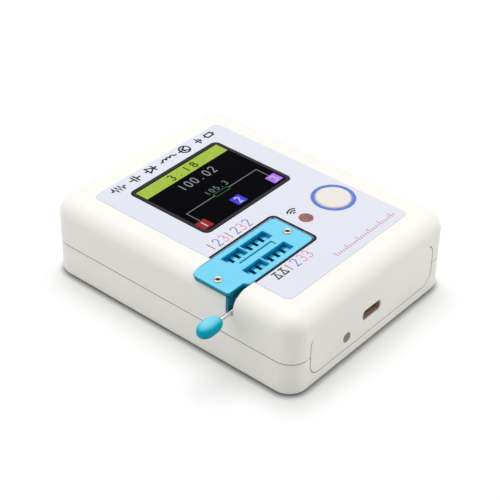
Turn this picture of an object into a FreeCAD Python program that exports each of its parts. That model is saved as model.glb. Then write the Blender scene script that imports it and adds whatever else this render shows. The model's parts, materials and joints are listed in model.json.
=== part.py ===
"""Pocket component tester: two case shells, display, test socket with lever, push button and battery.

Millimetres. The origin is the middle of the case's underside, +Z up, +Y towards the display's end,
-X towards the lever.
"""
import FreeCAD, Part
import os
import re

import Sketcher

# Driving sizes. Each is written once here and reaches the model through the sheet.
SIZES = {
    # case
    "case_width": 70.5,
    "case_length": 90.0,
    "case_height": 25.0,
    "corner_radius": 6.0,
    "top_edge_radius": 5.0,
    "bottom_edge_radius": 1.8,
    "wall": 2.0,
    "parting_height": 11.2,
    "seam_gap": 0.25,
    "lip_height": 1.5,
    "lip_thickness": 0.9,
    "lip_clearance": 0.15,
    # case screws, posts and bosses
    "screw_inset_x": 7.75,
    "screw_inset_y": 7.5,
    "screw_diameter": 2.5,
    "screw_clearance": 0.15,
    "thread_clearance": 0.02,
    "screw_head_diameter": 4.6,
    "screw_head_height": 1.7,
    "screw_recess": 3.0,
    "screw_grip": 6.0,
    "boss_diameter": 6.0,
    "post_diameter": 7.4,
    # end panel
    "panel_width": 55.7,
    "panel_low": 4.2,
    "panel_drop": 6.6,
    "panel_radius": 4.0,
    "panel_clearance": 0.2,
    "panel_flange": 1.0,
    "flange_thickness": 0.9,
    "flange_clearance": 0.05,
    # face label
    "overlay_inset_x": 8.6,
    "overlay_inset_y": 8.85,
    "overlay_radius": 2.0,
    "overlay_thickness": 0.4,
    "overlay_recess": 0.3,
    "overlay_clearance": 0.04,
    # display
    "view_width": 35.04,
    "view_length": 28.03,
    "view_y": 14.65,
    "window_border_x": 1.31,
    "window_border_y": 1.06,
    "window_radius": 2.0,
    "window_thickness": 0.5,
    "window_clearance": 0.1,
    "glass_border_x": 0.9,
    "glass_border_y": 0.7,
    "glass_clearance": 0.15,
    "glass_gap": 0.05,
    "backlight_gap": 0.1,
    "backlight_border": 2.0,
    "backlight_thickness": 2.6,
    "frame_wall": 1.6,
    "ribbon_width": 20.0,
    "ribbon_thickness": 0.2,
    "ribbon_reach": 2.0,
    # circuit board
    "board_gap_x": 1.75,
    "board_gap_y": 1.1,
    "board_thickness": 1.6,
    "board_rise": 1.1,
    "board_radius": 3.0,
    # test socket
    "socket_y": -16.25,
    "cover_setback": 0.05,
    "cover_length": 34.9,
    "cover_width": 15.0,
    "cover_thickness": 1.45,
    "cover_radius": 1.8,
    "tongue_radius": 0.9,
    "tongue_overlap": 5.4,
    "relief_margin": 1.2,
    "cover_overhang": 1.7,
    "opening_clearance": 0.2,
    "socket_clearance": 0.2,
    "base_radius": 0.8,
    "cover_gap": 0.1,
    "pin_pitch": 2.54,
    "row_spacing": 7.62,
    "pin_middle": 19.15,
    "window_slot": 3.7,
    "window_margin": 1.25,
    "window_rib": 0.55,
    "pin_slot_width": 1.15,
    "pin_slot_length": 3.4,
    "contact_width": 0.6,
    "contact_tail": 1.4,
    "contact_hole": 1.0,
    "slit_width": 0.5,
    "slit_depth": 0.45,
    "slit_shift": 0.6,
    "slit_inset": 0.75,
    "hook_length": 1.4,
    "rivet_inset": 2.75,
    "rivet_head": 2.9,
    "rivet_tube": 1.7,
    "rivet_hole": 1.3,
    "rivet_head_height": 0.25,
    "rivet_depth": 2.0,
    "slider_margin": 0.25,
    "slider_end_gap": 0.7,
    "slider_thickness": 1.75,
    "slider_clearance": 0.15,
    "slider_lug": 1.2,
    "slider_lug_width": 2.6,
    # lever
    "pivot_inset": 4.4,
    "lever_drop": 5.9,
    "arm_inset": 0.8,
    "arm_diameter": 1.2,
    "arm_clearance": 0.15,
    "notch_clearance": 0.3,
    "liner_thickness": 0.8,
    "liner_gap": 0.05,
    "journal_margin": 0.05,
    "journal_clearance": 0.05,
    "hub_thickness": 1.5,
    "shaft_end": 2.3,
    "crank_diameter": 1.9,
    "crank_throw": 0.6,
    "crank_length": 3.4,
    "crank_clearance": 0.03,
    "knob_start": 7.9,
    "knob_length": 9.3,
    "knob_diameter": 5.2,
    "knob_neck_diameter": 4.2,
    "knob_bore_depth": 6.0,
    "knob_clearance": 0.02,
    # push button
    "button_spacing": 13.1,
    "button_y": -15.6,
    "button_diameter": 10.2,
    "button_clearance": 0.12,
    "button_proud": 0.25,
    "button_edge_radius": 0.25,
    "button_flange": 1.1,
    "button_flange_thickness": 1.4,
    "button_flange_gap": 0.1,
    "button_travel": 0.5,
    "button_stop_gap": 0.6,
    "button_socket_depth": 1.5,
    "switch_size": 12.0,
    "switch_height": 3.5,
    "plunger_diameter": 3.8,
    "plunger_clearance": 0.05,
    "plunger_depth": 2.0,
    # infrared receiver
    "receiver_spacing": 5.9,
    "receiver_y": -16.0,
    "receiver_hole": 3.0,
    "receiver_dome": 2.8,
    "receiver_sink": 0.1,
    "receiver_width": 6.0,
    "receiver_depth": 5.0,
    "receiver_height": 2.6,
    "receiver_gap": 0.5,
    "lead_diameter": 0.5,
    "lead_hole_clearance": 0.2,
    # charging port and charge light
    "port_x": -0.8,
    "port_width": 7.5,
    "port_height": 2.6,
    "port_depth": 5.6,
    "port_recess": 1.4,
    "port_metal": 0.3,
    "port_slot_margin": 0.4,
    "tongue_height": 0.7,
    "tongue_width": 4.6,
    "tongue_recess": 0.9,
    "led_x": -11.9,
    "led_drop": 4.2,
    "led_diameter": 2.9,
    "led_clearance": 0.08,
    "led_length": 5.2,
    "led_rim": 0.4,
    "led_rim_thickness": 1.0,
    "led_pitch": 1.27,
    "led_bend": 1.2,
    # battery
    "battery_width": 34.0,
    "battery_length": 50.0,
    "battery_thickness": 6.0,
    "battery_radius": 2.5,
    "plug_inset": 6.6,
    "pad_thickness": 0.8,
    "pad_inset": 4.0,
    "wire_diameter": 1.0,
    "wire_pitch": 2.0,
    "wire_run": 3.0,
    "wire_bend": 1.4,
    "wire_rise": 0.9,
    "plug_width": 5.8,
    "plug_depth": 4.4,
    "plug_height": 2.4,
    "header_height": 3.6,
    "header_margin": 0.5,
    # parts on the board
    "chip_size": 10.0,
    "chip_height": 1.4,
    "chip_y": 14.0,
    "charger_spacing": 8.0,
    "charger_inset": 9.0,
    "charger_width": 4.9,
    "charger_length": 3.9,
    "charger_height": 1.5,
    "coil_side": 9.5,
    "coil_inset": 8.0,
    "coil_diameter": 5.0,
    "coil_height": 2.8,
    "crystal_x": 9.5,
    "crystal_width": 5.0,
    "crystal_length": 3.2,
    "crystal_height": 1.1,
    "small_pitch": 3.2,
    "capacitor_x": -20.0,
    "capacitor_inset": 9.0,
    "capacitor_width": 1.25,
    "capacitor_length": 2.0,
    "capacitor_height": 1.25,
    "resistor_x": -20.0,
    "resistor_inset": 5.0,
    "resistor_width": 1.25,
    "resistor_length": 2.0,
    "resistor_height": 0.55,
}

# Places worked out from the driving sizes.
PLACES = {
    "half_width": "case_width / 2",
    "half_length": "case_length / 2",
    "roof_under": "case_height - wall",
    "rim": "parting_height - seam_gap",
    "overlay_width": "case_width - 2 * overlay_inset_x",
    "overlay_length": "case_length - 2 * overlay_inset_y",
    "overlay_seat": "case_height - overlay_recess",
    "face_top": "overlay_seat + overlay_thickness",
    "board_height": "parting_height + board_rise",
    "board_top": "board_height + board_thickness",
    "board_width": "case_width - 2 * (wall + board_gap_x)",
    "board_length": "case_length - 2 * (wall + flange_thickness + board_gap_y)",
    "board_end": "-board_length / 2",
    "screw_x": "half_width - screw_inset_x",
    "screw_y": "half_length - screw_inset_y",
    "window_width": "view_width + 2 * window_border_x",
    "window_length": "view_length + 2 * window_border_y",
    "window_seat": "face_top - window_thickness",
    "glass_top": "window_seat - glass_gap",
    "glass_under": "roof_under - backlight_gap",
    "backlight_under": "glass_under - backlight_thickness",
    "glass_width": "view_width + 2 * glass_border_x",
    "glass_length": "view_length + 2 * glass_border_y",
    "backlight_width": "glass_width + 2 * backlight_border",
    "backlight_length": "glass_length + 2 * backlight_border",
    "backlight_end": "view_y + backlight_length / 2",
    "panel_high": "case_height - panel_drop",
    "panel_back": "wall + flange_thickness - half_length",
    "cover_front": "cover_setback - half_width",
    "socket_rear": "cover_front + cover_length",
    "cover_edge": "socket_y - cover_width / 2",
    "cover_under": "case_height - cover_thickness",
    "base_front": "cover_front + cover_overhang",
    "opening_rear": "socket_rear + opening_clearance",
    "opening_width": "cover_width + 2 * opening_clearance",
    "pin_x": "cover_front + pin_middle",
    "slider_width": "row_spacing + pin_slot_length + 2 * slider_margin",
    "slider_top": "cover_under - slider_clearance",
    "slider_low": "slider_top - slider_thickness",
    "slider_floor": "slider_low - slider_clearance",
    "journal_diameter": "2 * (crank_throw + journal_margin) + crank_diameter",
    "lever_x": "cover_front + pivot_inset",
    "lever_y": "cover_edge + arm_inset",
    "lever_z": "case_height - lever_drop",
    "channel_side": "lever_y + arm_diameter / 2 + arm_clearance",
    "channel_floor": "lever_z - journal_diameter / 2 - arm_clearance",
    "crank_offset": "crank_throw * sqrt(0.5)",
    "slider_front": "lever_x - crank_offset + crank_diameter / 2 + crank_clearance",
    "rivet_x": "socket_rear - rivet_inset",
    "slider_length": "rivet_x - rivet_tube / 2 - slider_travel - slider_end_gap - slider_front",
    "slider_rear": "slider_front + slider_length",
    "slider_travel": "2 * crank_offset",
    "lug_low": "lever_z - crank_clearance",
    "button_top": "face_top + button_proud",
    "button_flange_top": "roof_under - button_flange_gap",
    "button_flange_low": "button_flange_top - button_flange_thickness",
    "switch_top": "board_top + switch_height",
    "button_skirt": "button_flange_low - switch_top - button_travel - button_stop_gap",
    "button_low": "button_flange_low - button_skirt",
    "receiver_x": "socket_rear + receiver_spacing",
    "button_x": "receiver_x + button_spacing",
    "receiver_top": "roof_under - receiver_gap",
    "dome_middle": "face_top - receiver_sink - receiver_dome / 2",
    "receiver_low": "receiver_top - receiver_height",
    "port_mouth": "port_recess - half_length",
    "led_height": "board_height - led_drop",
    "led_back": "led_length - half_length",
    "battery_low": "wall + pad_thickness",
    "battery_top": "battery_low + battery_thickness",
    "plug_y": "board_length / 2 - plug_inset",
    "battery_end": "wire_turn - wire_run",
    "battery_y": "battery_end - battery_length / 2",
    "header_low": "board_height - header_height",
    "plug_low": "header_low - plug_height",
    "wire_z": "plug_low - wire_bend - wire_rise",
    "wire_turn": "plug_y - wire_bend",
    "charger_x": "coil_x - charger_spacing",
    "charger_y": "board_end + charger_inset",
    "coil_x": "board_width / 2 - coil_side",
    "coil_y": "board_end + coil_inset",
    "capacitor_y": "board_end + capacitor_inset",
    "resistor_y": "board_end + resistor_inset",
}

doc = FreeCAD.newDocument("component_tester")
sheet = doc.addObject("Spreadsheet::Sheet", "sizes")
for row, (alias, number) in enumerate(SIZES.items(), 1):
    sheet.set("A%d" % row, alias)
    sheet.set("B%d" % row, str(number))
    sheet.setAlias("B%d" % row, alias)
doc.recompute()


def bind(text):
    """Write out a formula of sizes and places as an expression on the sheet."""
    def swap(match):
        word = match.group(0)
        if word in PLACES:
            return "(" + bind(PLACES[word]) + ")"
        if word in SIZES:
            return "sizes." + word
        return word
    return re.sub(r"[a-z][a-z_0-9]*", swap, text)


def tie(item, name, text):
    item.setExpression(name, bind(text))


def about(middle, size):
    """Low and high ends of a size centred on a place."""
    return "%s - (%s) / 2" % (middle, size), "%s + (%s) / 2" % (middle, size)


def grown(ends, margin):
    return "%s - (%s)" % (ends[0], margin), "%s + (%s)" % (ends[1], margin)


TURN = {
    "x": FreeCAD.Rotation(FreeCAD.Vector(0, 1, 0), 90),
    "y": FreeCAD.Rotation(FreeCAD.Vector(1, 0, 0), -90),
    "z": FreeCAD.Rotation(),
}


def block(name, x, y, z):
    """Box between low and high ends along each axis."""
    item = doc.addObject("Part::Box", name)
    for axis, size, ends in (("x", "Length", x), ("y", "Width", y), ("z", "Height", z)):
        tie(item, "Placement.Base." + axis, ends[0])
        tie(item, size, "%s - (%s)" % (ends[1], ends[0]))
    return item


def rod(name, axis, start, diameter, length):
    """Round bar from a start point along an axis."""
    item = doc.addObject("Part::Cylinder", name)
    item.Placement = FreeCAD.Placement(FreeCAD.Vector(), TURN[axis])
    for letter, text in zip("xyz", start):
        tie(item, "Placement.Base." + letter, text)
    tie(item, "Radius", "(%s) / 2" % diameter)
    tie(item, "Height", length)
    return item


def along(edge, axis):
    ends = [v.Point for v in edge.Vertexes]
    if len(ends) < 2:
        return False
    run = (ends[1] - ends[0]).normalize()
    return abs(abs(getattr(run, axis)) - 1) < 1e-6


def rounded(name, axis, x, y, z, radius):
    """Block with its four edges along an axis rounded."""
    base = block(name + "_block", x, y, z)
    doc.recompute()
    item = doc.addObject("Part::Fillet", name)
    item.Base = base
    edges = [i for i, edge in enumerate(base.Shape.Edges, 1) if along(edge, axis)]
    item.Edges = [(i, radius, radius) for i in edges]
    return item


def fuse(name, *shapes):
    item = doc.addObject("Part::MultiFuse", name)
    item.Shapes = list(shapes)
    item.Refine = True
    return item


def cut(name, base, *tools):
    item = doc.addObject("Part::Cut", name)
    item.Base = base
    item.Tool = tools[0] if len(tools) == 1 else fuse(name + "_cuts", *tools)
    item.Refine = True
    return item


def group(name, shapes):
    """Separate solids that share one node."""
    item = doc.addObject("Part::Compound", name)
    item.Links = list(shapes)
    return item


def origin_plane(body, role):
    return next(item for item in body.Origin.OriginFeatures if item.Role == role)


def plan_sketch(body, name, height):
    """Plan of the case on the body's horizontal plane, at a height."""
    sketch = body.newObject("Sketcher::SketchObject", name)
    sketch.AttachmentSupport = [(origin_plane(body, "XY_Plane"), "")]
    sketch.MapMode = "FlatFace"
    tie(sketch, "AttachmentOffset.Base.z", height)
    half_x, half_y = SIZES["case_width"] / 2, SIZES["case_length"] / 2
    corners = [FreeCAD.Vector(x * half_x, y * half_y, 0) for x, y in ((-1, -1), (1, -1), (1, 1), (-1, 1))]
    for i in range(4):
        sketch.addGeometry(Part.LineSegment(corners[i], corners[(i + 1) % 4]), False)
    for i in range(4):
        sketch.addConstraint(Sketcher.Constraint("Coincident", i, 2, (i + 1) % 4, 1))
    for i, way in enumerate(("Horizontal", "Vertical", "Horizontal", "Vertical")):
        sketch.addConstraint(Sketcher.Constraint(way, i))
    sketch.addConstraint(Sketcher.Constraint("Symmetric", 0, 1, 1, 2, -1, 1))
    across = sketch.addConstraint(Sketcher.Constraint("DistanceX", 0, 1, 0, 2, 2 * half_x))
    up = sketch.addConstraint(Sketcher.Constraint("DistanceY", 1, 1, 1, 2, 2 * half_y))
    tie(sketch, "Constraints[%d]" % across, "case_width")
    tie(sketch, "Constraints[%d]" % up, "case_length")
    return sketch


def level_edges(shape, height):
    """Names of the edges that lie flat at a height."""
    names = []
    for i, edge in enumerate(shape.Edges, 1):
        box = edge.BoundBox
        if abs(box.ZMin - height) < 1e-6 and abs(box.ZMax - height) < 1e-6:
            names.append("Edge%d" % i)
    return names


def level_face(shape, height):
    """Name of the flat face that lies at a height."""
    for i, face in enumerate(shape.Faces, 1):
        box = face.BoundBox
        if abs(box.ZMin - height) < 1e-6 and abs(box.ZMax - height) < 1e-6:
            return "Face%d" % i


def case_block(name, low, high):
    """Padded plan of the case between two heights, with its upright corners rounded."""
    body = doc.addObject("PartDesign::Body", name)
    plan = plan_sketch(body, name + "_plan", low)
    pad = body.newObject("PartDesign::Pad", name + "_pad")
    pad.Profile = plan
    tie(pad, "Length", "%s - (%s)" % (high, low))
    doc.recompute()
    corners = body.newObject("PartDesign::Fillet", name + "_corners")
    upright = ["Edge%d" % i for i, edge in enumerate(pad.Shape.Edges, 1) if along(edge, "z")]
    corners.Base = (pad, upright)
    tie(corners, "Radius", "corner_radius")
    doc.recompute()
    return body


def round_rim(body, height, radius):
    """Round the outer edge of a case block at a height."""
    base = body.Tip
    rim = body.newObject("PartDesign::Fillet", body.Name + "_edge")
    rim.Base = (base, level_edges(base.Shape, height))
    tie(rim, "Radius", radius)
    doc.recompute()


def hollow_out(body, height):
    """Leave an even wall, open at the face that lies at a height."""
    base = body.Tip
    hollow = body.newObject("PartDesign::Thickness", body.Name + "_hollow")
    hollow.Base = (base, [level_face(base.Shape, height)])
    hollow.Reversed = True
    tie(hollow, "Value", "wall")
    doc.recompute()


def screw_spots():
    return [(sx + "screw_x", sy + "screw_y") for sx in ("", "-") for sy in ("", "-")]


def pin_spots():
    """Places of the test socket's contacts, seven to a row."""
    rows = ("socket_y - row_spacing / 2", "socket_y + row_spacing / 2")
    return [("pin_x + (%d) * pin_pitch" % (i - 3), row) for row in rows for i in range(7)]


def slot_at(x):
    """The plate's slot meets its contact once the lever is up."""
    return x + " - slider_travel"


OUT = "1"
half_x = ("-half_width", "half_width")
half_y = ("-half_length", "half_length")
opening_y = about("socket_y", "opening_width")
panel_x = about("0", "panel_width")
panel_z = ("panel_low", "panel_high")

# Case shells
lip_outer = SIZES["corner_radius"] - SIZES["wall"] + SIZES["lip_thickness"]
lip_step = "wall - lip_thickness"
panel_hole = rounded("panel_hole", "y", grown(panel_x, "panel_clearance"),
                     ("-half_length - " + OUT, "panel_back"), grown(panel_z, "panel_clearance"),
                     SIZES["panel_radius"] + SIZES["panel_clearance"])

top_form = case_block("top_form", "parting_height", "case_height")
top_box = top_form.Shape.BoundBox
round_rim(top_form, top_box.ZMax, "top_edge_radius")
hollow_out(top_form, top_box.ZMin)
bosses = [rod("boss_%d" % i, "z", (x, y, "board_top"), "boss_diameter", "roof_under - board_top + wall / 2")
          for i, (x, y) in enumerate(screw_spots())]
top_solid = fuse("top_solid", top_form, *bosses)
lip_room = rounded("lip_room", "z", grown(half_x, "lip_clearance - (%s)" % lip_step),
                   grown(half_y, "lip_clearance - (%s)" % lip_step),
                   ("parting_height - " + OUT, "parting_height + lip_height + lip_clearance"),
                   lip_outer + SIZES["lip_clearance"])
overlay_x = about("0", "overlay_width")
overlay_y = about("0", "overlay_length")
overlay_room = rounded("overlay_room", "z", grown(overlay_x, "overlay_clearance"),
                       grown(overlay_y, "overlay_clearance"), ("overlay_seat", "case_height + " + OUT),
                       SIZES["overlay_radius"])
window_x = about("0", "window_width")
window_y = about("view_y", "window_length")
window_room = rounded("window_room", "z", grown(window_x, "window_clearance"),
                      grown(window_y, "window_clearance"), ("window_seat", "case_height + " + OUT),
                      SIZES["window_radius"])
glass_x = about("0", "glass_width")
glass_y = about("view_y", "glass_length")
aperture = block("aperture", grown(glass_x, "glass_clearance"), grown(glass_y, "glass_clearance"),
                 ("roof_under - " + OUT, "case_height + " + OUT))
socket_well = block("socket_well", ("base_front - socket_clearance", "opening_rear"), opening_y,
                    ("board_top", "case_height + " + OUT))
socket_mouth = block("socket_mouth", ("-half_width - " + OUT, "opening_rear"), opening_y,
                     ("cover_under - cover_gap", "case_height + " + OUT))
lever_notch = block("lever_notch", ("-half_width - " + OUT, "base_front"),
                    ("lever_y - arm_diameter / 2 - notch_clearance", "channel_side + liner_thickness"),
                    ("lever_z - arm_diameter / 2 - arm_clearance", "case_height"))
button_hole = rod("button_hole", "z", ("button_x", "button_y", "roof_under - " + OUT),
                  "button_diameter + 2 * button_clearance", "wall + 2 * " + OUT)
receiver_bore = rod("receiver_bore", "z", ("receiver_x", "receiver_y", "roof_under - " + OUT),
                    "receiver_hole", "wall + 2 * " + OUT)
pilots = [rod("pilot_%d" % i, "z", (x, y, "board_top - " + OUT),
              "screw_diameter + 2 * thread_clearance", "screw_grip + 2 * " + OUT)
          for i, (x, y) in enumerate(screw_spots())]
cut("top_shell", top_solid, lip_room, overlay_room, window_room, aperture, socket_well, socket_mouth,
    lever_notch, button_hole, receiver_bore, panel_hole, *pilots)

bottom_form = case_block("bottom_form", "0", "rim")
bottom_box = bottom_form.Shape.BoundBox
hollow_out(bottom_form, bottom_box.ZMax)
round_rim(bottom_form, bottom_box.ZMin, "bottom_edge_radius")
lip_block = rounded("lip_block", "z", grown(half_x, "-(%s)" % lip_step), grown(half_y, "-(%s)" % lip_step),
                    ("rim - lip_height", "parting_height + lip_height"), lip_outer)
lip_core = rounded("lip_core", "z", grown(half_x, "-wall"), grown(half_y, "-wall"),
                   ("rim - lip_height - " + OUT, "parting_height + lip_height + " + OUT),
                   SIZES["corner_radius"] - SIZES["wall"])
lip = cut("lip", lip_block, lip_core)
posts = [rod("post_%d" % i, "z", (x, y, "wall / 2"), "post_diameter", "board_height - wall / 2")
         for i, (x, y) in enumerate(screw_spots())]
bottom_solid = fuse("bottom_solid", bottom_form, lip, *posts)
shank_holes = [rod("shank_hole_%d" % i, "z", (x, y, "-" + OUT), "screw_diameter + 2 * screw_clearance",
                   "board_height + 2 * " + OUT) for i, (x, y) in enumerate(screw_spots())]
head_holes = [rod("head_hole_%d" % i, "z", (x, y, "-" + OUT),
                  "screw_head_diameter + 2 * screw_clearance", "screw_recess + " + OUT)
              for i, (x, y) in enumerate(screw_spots())]
cut("bottom_shell", bottom_solid, panel_hole, *shank_holes, *head_holes)

screws = []
for i, (x, y) in enumerate(screw_spots()):
    shank = rod("screw_shank_%d" % i, "z", (x, y, "screw_recess - screw_head_height / 2"), "screw_diameter",
                "board_top - screw_recess + screw_head_height / 2 + screw_grip")
    head = rod("screw_head_%d" % i, "z", (x, y, "screw_recess - screw_head_height"),
               "screw_head_diameter", "screw_head_height")
    screws.append(fuse("screw_%d" % i, shank, head))
group("case_screws", screws)

# End panel
port_z = about("board_height - port_height / 2", "port_height")
port_x = about("port_x", "port_width")
panel_plate = rounded("panel_plate", "y", panel_x, ("-half_length", "panel_back"), panel_z,
                      SIZES["panel_radius"])
panel_rim = rounded("panel_rim", "y", grown(panel_x, "panel_flange"),
                    ("wall - half_length + flange_clearance", "panel_back"), grown(panel_z, "panel_flange"),
                    SIZES["panel_radius"] + SIZES["panel_flange"])
port_slot = rounded("port_slot", "y", grown(port_x, "port_slot_margin"),
                    ("-half_length - " + OUT, "panel_back + " + OUT), grown(port_z, "port_slot_margin"),
                    SIZES["port_height"] / 2)
led_bore = rod("led_bore", "y", ("led_x", "-half_length - " + OUT, "led_height"),
               "led_diameter + 2 * led_clearance", "wall + flange_thickness + 2 * " + OUT)
cut("end_panel", fuse("panel_solid", panel_plate, panel_rim), port_slot, led_bore)

# Face label and display
overlay_sheet = rounded("overlay_sheet", "z", overlay_x, overlay_y, ("overlay_seat", "face_top"),
                        SIZES["overlay_radius"])
cut("face_overlay", overlay_sheet, window_room, socket_mouth, button_hole, receiver_bore)
rounded("display_window", "z", window_x, window_y, ("window_seat", "face_top"), SIZES["window_radius"])
block("lcd_glass", glass_x, glass_y, ("glass_under", "glass_top"))
back_x = about("0", "backlight_width")
back_y = about("view_y", "backlight_length")
block("lcd_backlight", back_x, back_y, ("backlight_under", "glass_under"))
frame_block = block("frame_block", back_x, back_y, ("board_top", "backlight_under"))
frame_core = block("frame_core", grown(back_x, "-frame_wall"), grown(back_y, "-frame_wall"),
                   ("board_top - " + OUT, "backlight_under + " + OUT))
cut("display_frame", frame_block, frame_core)
ribbon_x = about("0", "ribbon_width")
ribbon_z = "glass_under - backlight_thickness / 2"
ribbon_flat = block("ribbon_flat", ribbon_x, ("backlight_end", "backlight_end + ribbon_reach"),
                    (ribbon_z, ribbon_z + " + ribbon_thickness"))
ribbon_drop = block("ribbon_drop", ribbon_x,
                    ("backlight_end + ribbon_reach - ribbon_thickness", "backlight_end + ribbon_reach"),
                    ("board_top", ribbon_z + " + ribbon_thickness"))
fuse("lcd_ribbon", ribbon_flat, ribbon_drop)

# Circuit board
board_sheet = rounded("board_sheet", "z", about("0", "board_width"), about("0", "board_length"),
                      ("board_height", "board_top"), SIZES["board_radius"])
board_z = "board_height - " + OUT
board_through = "board_thickness + 2 * " + OUT
board_holes = [rod("board_hole_%d" % i, "z", (x, y, board_z), "screw_diameter + 2 * screw_clearance",
                   board_through) for i, (x, y) in enumerate(screw_spots())]
board_holes += [rod("tail_hole_%d" % i, "z", (x, y, board_z), "contact_hole", board_through)
                for i, (x, y) in enumerate(pin_spots())]
lead_spots = [("receiver_x + (%d) * pin_pitch / 2" % i, "receiver_y") for i in (-1, 0, 1)]
board_holes += [rod("lead_hole_%d" % i, "z", (x, y, board_z), "lead_diameter + 2 * lead_hole_clearance",
                    board_through) for i, (x, y) in enumerate(lead_spots)]
cut("main_board", board_sheet, *board_holes)

# Test socket
cover_z = ("cover_under", "case_height")
base_y = about("socket_y", "cover_width")
slider_y = about("socket_y", "slider_width")
base_block = rounded("base_block", "z", ("base_front", "socket_rear"), base_y, ("board_top", "cover_under"),
                     SIZES["base_radius"])
shaft_y = "lever_y - hub_thickness / 2"
shaft_stop = "socket_y + cover_width / 2 - shaft_end"
bearing = rod("bearing", "y", ("lever_x", "cover_edge - " + OUT, "lever_z"),
              "journal_diameter + 2 * journal_clearance", "cover_width - shaft_end + arm_clearance + " + OUT)
channel_x = ("base_front - " + OUT, "lever_x + journal_diameter / 2 + arm_clearance")
lever_channel = block("lever_channel", channel_x, ("cover_edge - " + OUT, "channel_side"),
                      ("channel_floor", "cover_under + " + OUT))
slider_room = block("slider_room", ("slider_front - slider_clearance",
                                    "slider_rear + slider_travel + 2 * slider_clearance"),
                    grown(slider_y, "slider_clearance"), ("slider_floor", "cover_under + " + OUT))
lug_y = about("socket_y", "slider_lug_width")
lug_room = block("lug_room", ("slider_front - slider_clearance",
                              "slider_front + slider_lug + slider_travel + 2 * slider_clearance"),
                 grown(lug_y, "slider_clearance"), ("lug_low - slider_clearance", "slider_floor + " + OUT))
rivet_spots = [("rivet_x", "socket_y"), ("cover_front + rivet_inset", "socket_y")]
rivet_bores = [rod("rivet_bore_%d" % i, "z", (x, y, "cover_under - rivet_depth"), "rivet_tube",
                   "rivet_depth + cover_thickness + " + OUT) for i, (x, y) in enumerate(rivet_spots)]
contact_wells = [block("contact_well_%d" % i, (about(slot_at(x), "pin_slot_width")[0],
                                               about(x, "pin_slot_width")[1]),
                       about(y, "pin_slot_length"), ("board_top + contact_tail", "slider_floor + " + OUT))
                 for i, (x, y) in enumerate(pin_spots())]
tail_bores = [block("tail_bore_%d" % i, about(x, "contact_width"), about(y, "contact_width"),
                    ("board_top - " + OUT, "board_top + contact_tail + " + OUT))
              for i, (x, y) in enumerate(pin_spots())]
base_form = cut("base_form", base_block, bearing, lever_channel, slider_room, lug_room, *rivet_bores,
                *contact_wells, *tail_bores)
notch_liner = block("notch_liner", ("cover_front + cover_setback", "base_front"),
                    ("channel_side", "channel_side + liner_thickness - liner_gap"),
                    ("lever_z - arm_diameter / 2", "cover_under"))
fuse("zif_base", base_form, notch_liner)
group("zif_contacts", [block("contact_%d" % i, about(x, "contact_width"), about(y, "contact_width"),
                             ("board_height - contact_tail", "slider_floor - slider_clearance"))
                       for i, (x, y) in enumerate(pin_spots())])

slider_plate = block("slider_plate", ("slider_front", "slider_rear"), slider_y, ("slider_low", "slider_top"))
slider_lug = block("slider_foot", ("slider_front", "slider_front + slider_lug"), lug_y,
                   ("lug_low", "slider_top"))
slider_slots = [block("slider_slot_%d" % i, about(slot_at(x), "pin_slot_width"),
                      about(y, "pin_slot_length"), ("slider_low - " + OUT, "slider_top + " + OUT))
                for i, (x, y) in enumerate(pin_spots())]
cut("zif_slider", fuse("slider_solid", slider_plate, slider_lug), *slider_slots)

relief_end = "lever_x + arm_diameter / 2 + arm_clearance + relief_margin"
cover_body = rounded("cover_body", "z", (relief_end, "socket_rear"), base_y, cover_z, SIZES["cover_radius"])
cover_tongue = rounded("cover_tongue", "z", ("cover_front", relief_end + " + tongue_overlap"),
                       ("channel_side", base_y[1]), cover_z, SIZES["tongue_radius"])
cover_plate = fuse("cover_plate", cover_body, cover_tongue)
through_z = ("cover_under - " + OUT, "case_height + " + OUT)
first_pin = "pin_x - 3 * pin_pitch"
last_pin = "pin_x + 3 * pin_pitch"
rib = about("pin_x - pin_pitch / 2", "window_rib")
window_ends = [(first_pin + " - window_margin", rib[0]), (rib[1], last_pin + " + window_margin")]
row_y = ("socket_y - row_spacing / 2", "socket_y + row_spacing / 2")
cover_windows = [block("cover_window_%d%d" % (i, j), ends, about(y, "window_slot"), through_z)
                 for i, ends in enumerate(window_ends) for j, y in enumerate(row_y)]
slit_y = about("socket_y + slit_shift", "slit_width")
slit_z = ("case_height - slit_depth", "case_height + " + OUT)
slit_end = last_pin + " - slit_inset"
slit = block("slit", (first_pin + " + slit_inset", slit_end), slit_y, slit_z)
hook_y = (slit_y[0] + " - hook_length", slit_y[1])
slit_hook = block("slit_hook", (slit_end + " - slit_width", slit_end), hook_y, slit_z)
cut("zif_cover", cover_plate, slit, slit_hook, *cover_windows, *rivet_bores)

rivets = []
for i, (x, y) in enumerate(rivet_spots):
    tube = rod("rivet_tube_%d" % i, "z", (x, y, "cover_under - rivet_depth"), "rivet_tube",
               "rivet_depth + cover_thickness")
    head = rod("rivet_head_%d" % i, "z", (x, y, "case_height"), "rivet_head", "rivet_head_height")
    bore = rod("rivet_eye_%d" % i, "z", (x, y, "cover_under - rivet_depth - " + OUT), "rivet_hole",
               "rivet_depth + cover_thickness + rivet_head_height + 2 * " + OUT)
    rivets.append(cut("rivet_%d" % i, fuse("rivet_solid_%d" % i, tube, head), bore))
group("zif_rivets", rivets)

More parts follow.
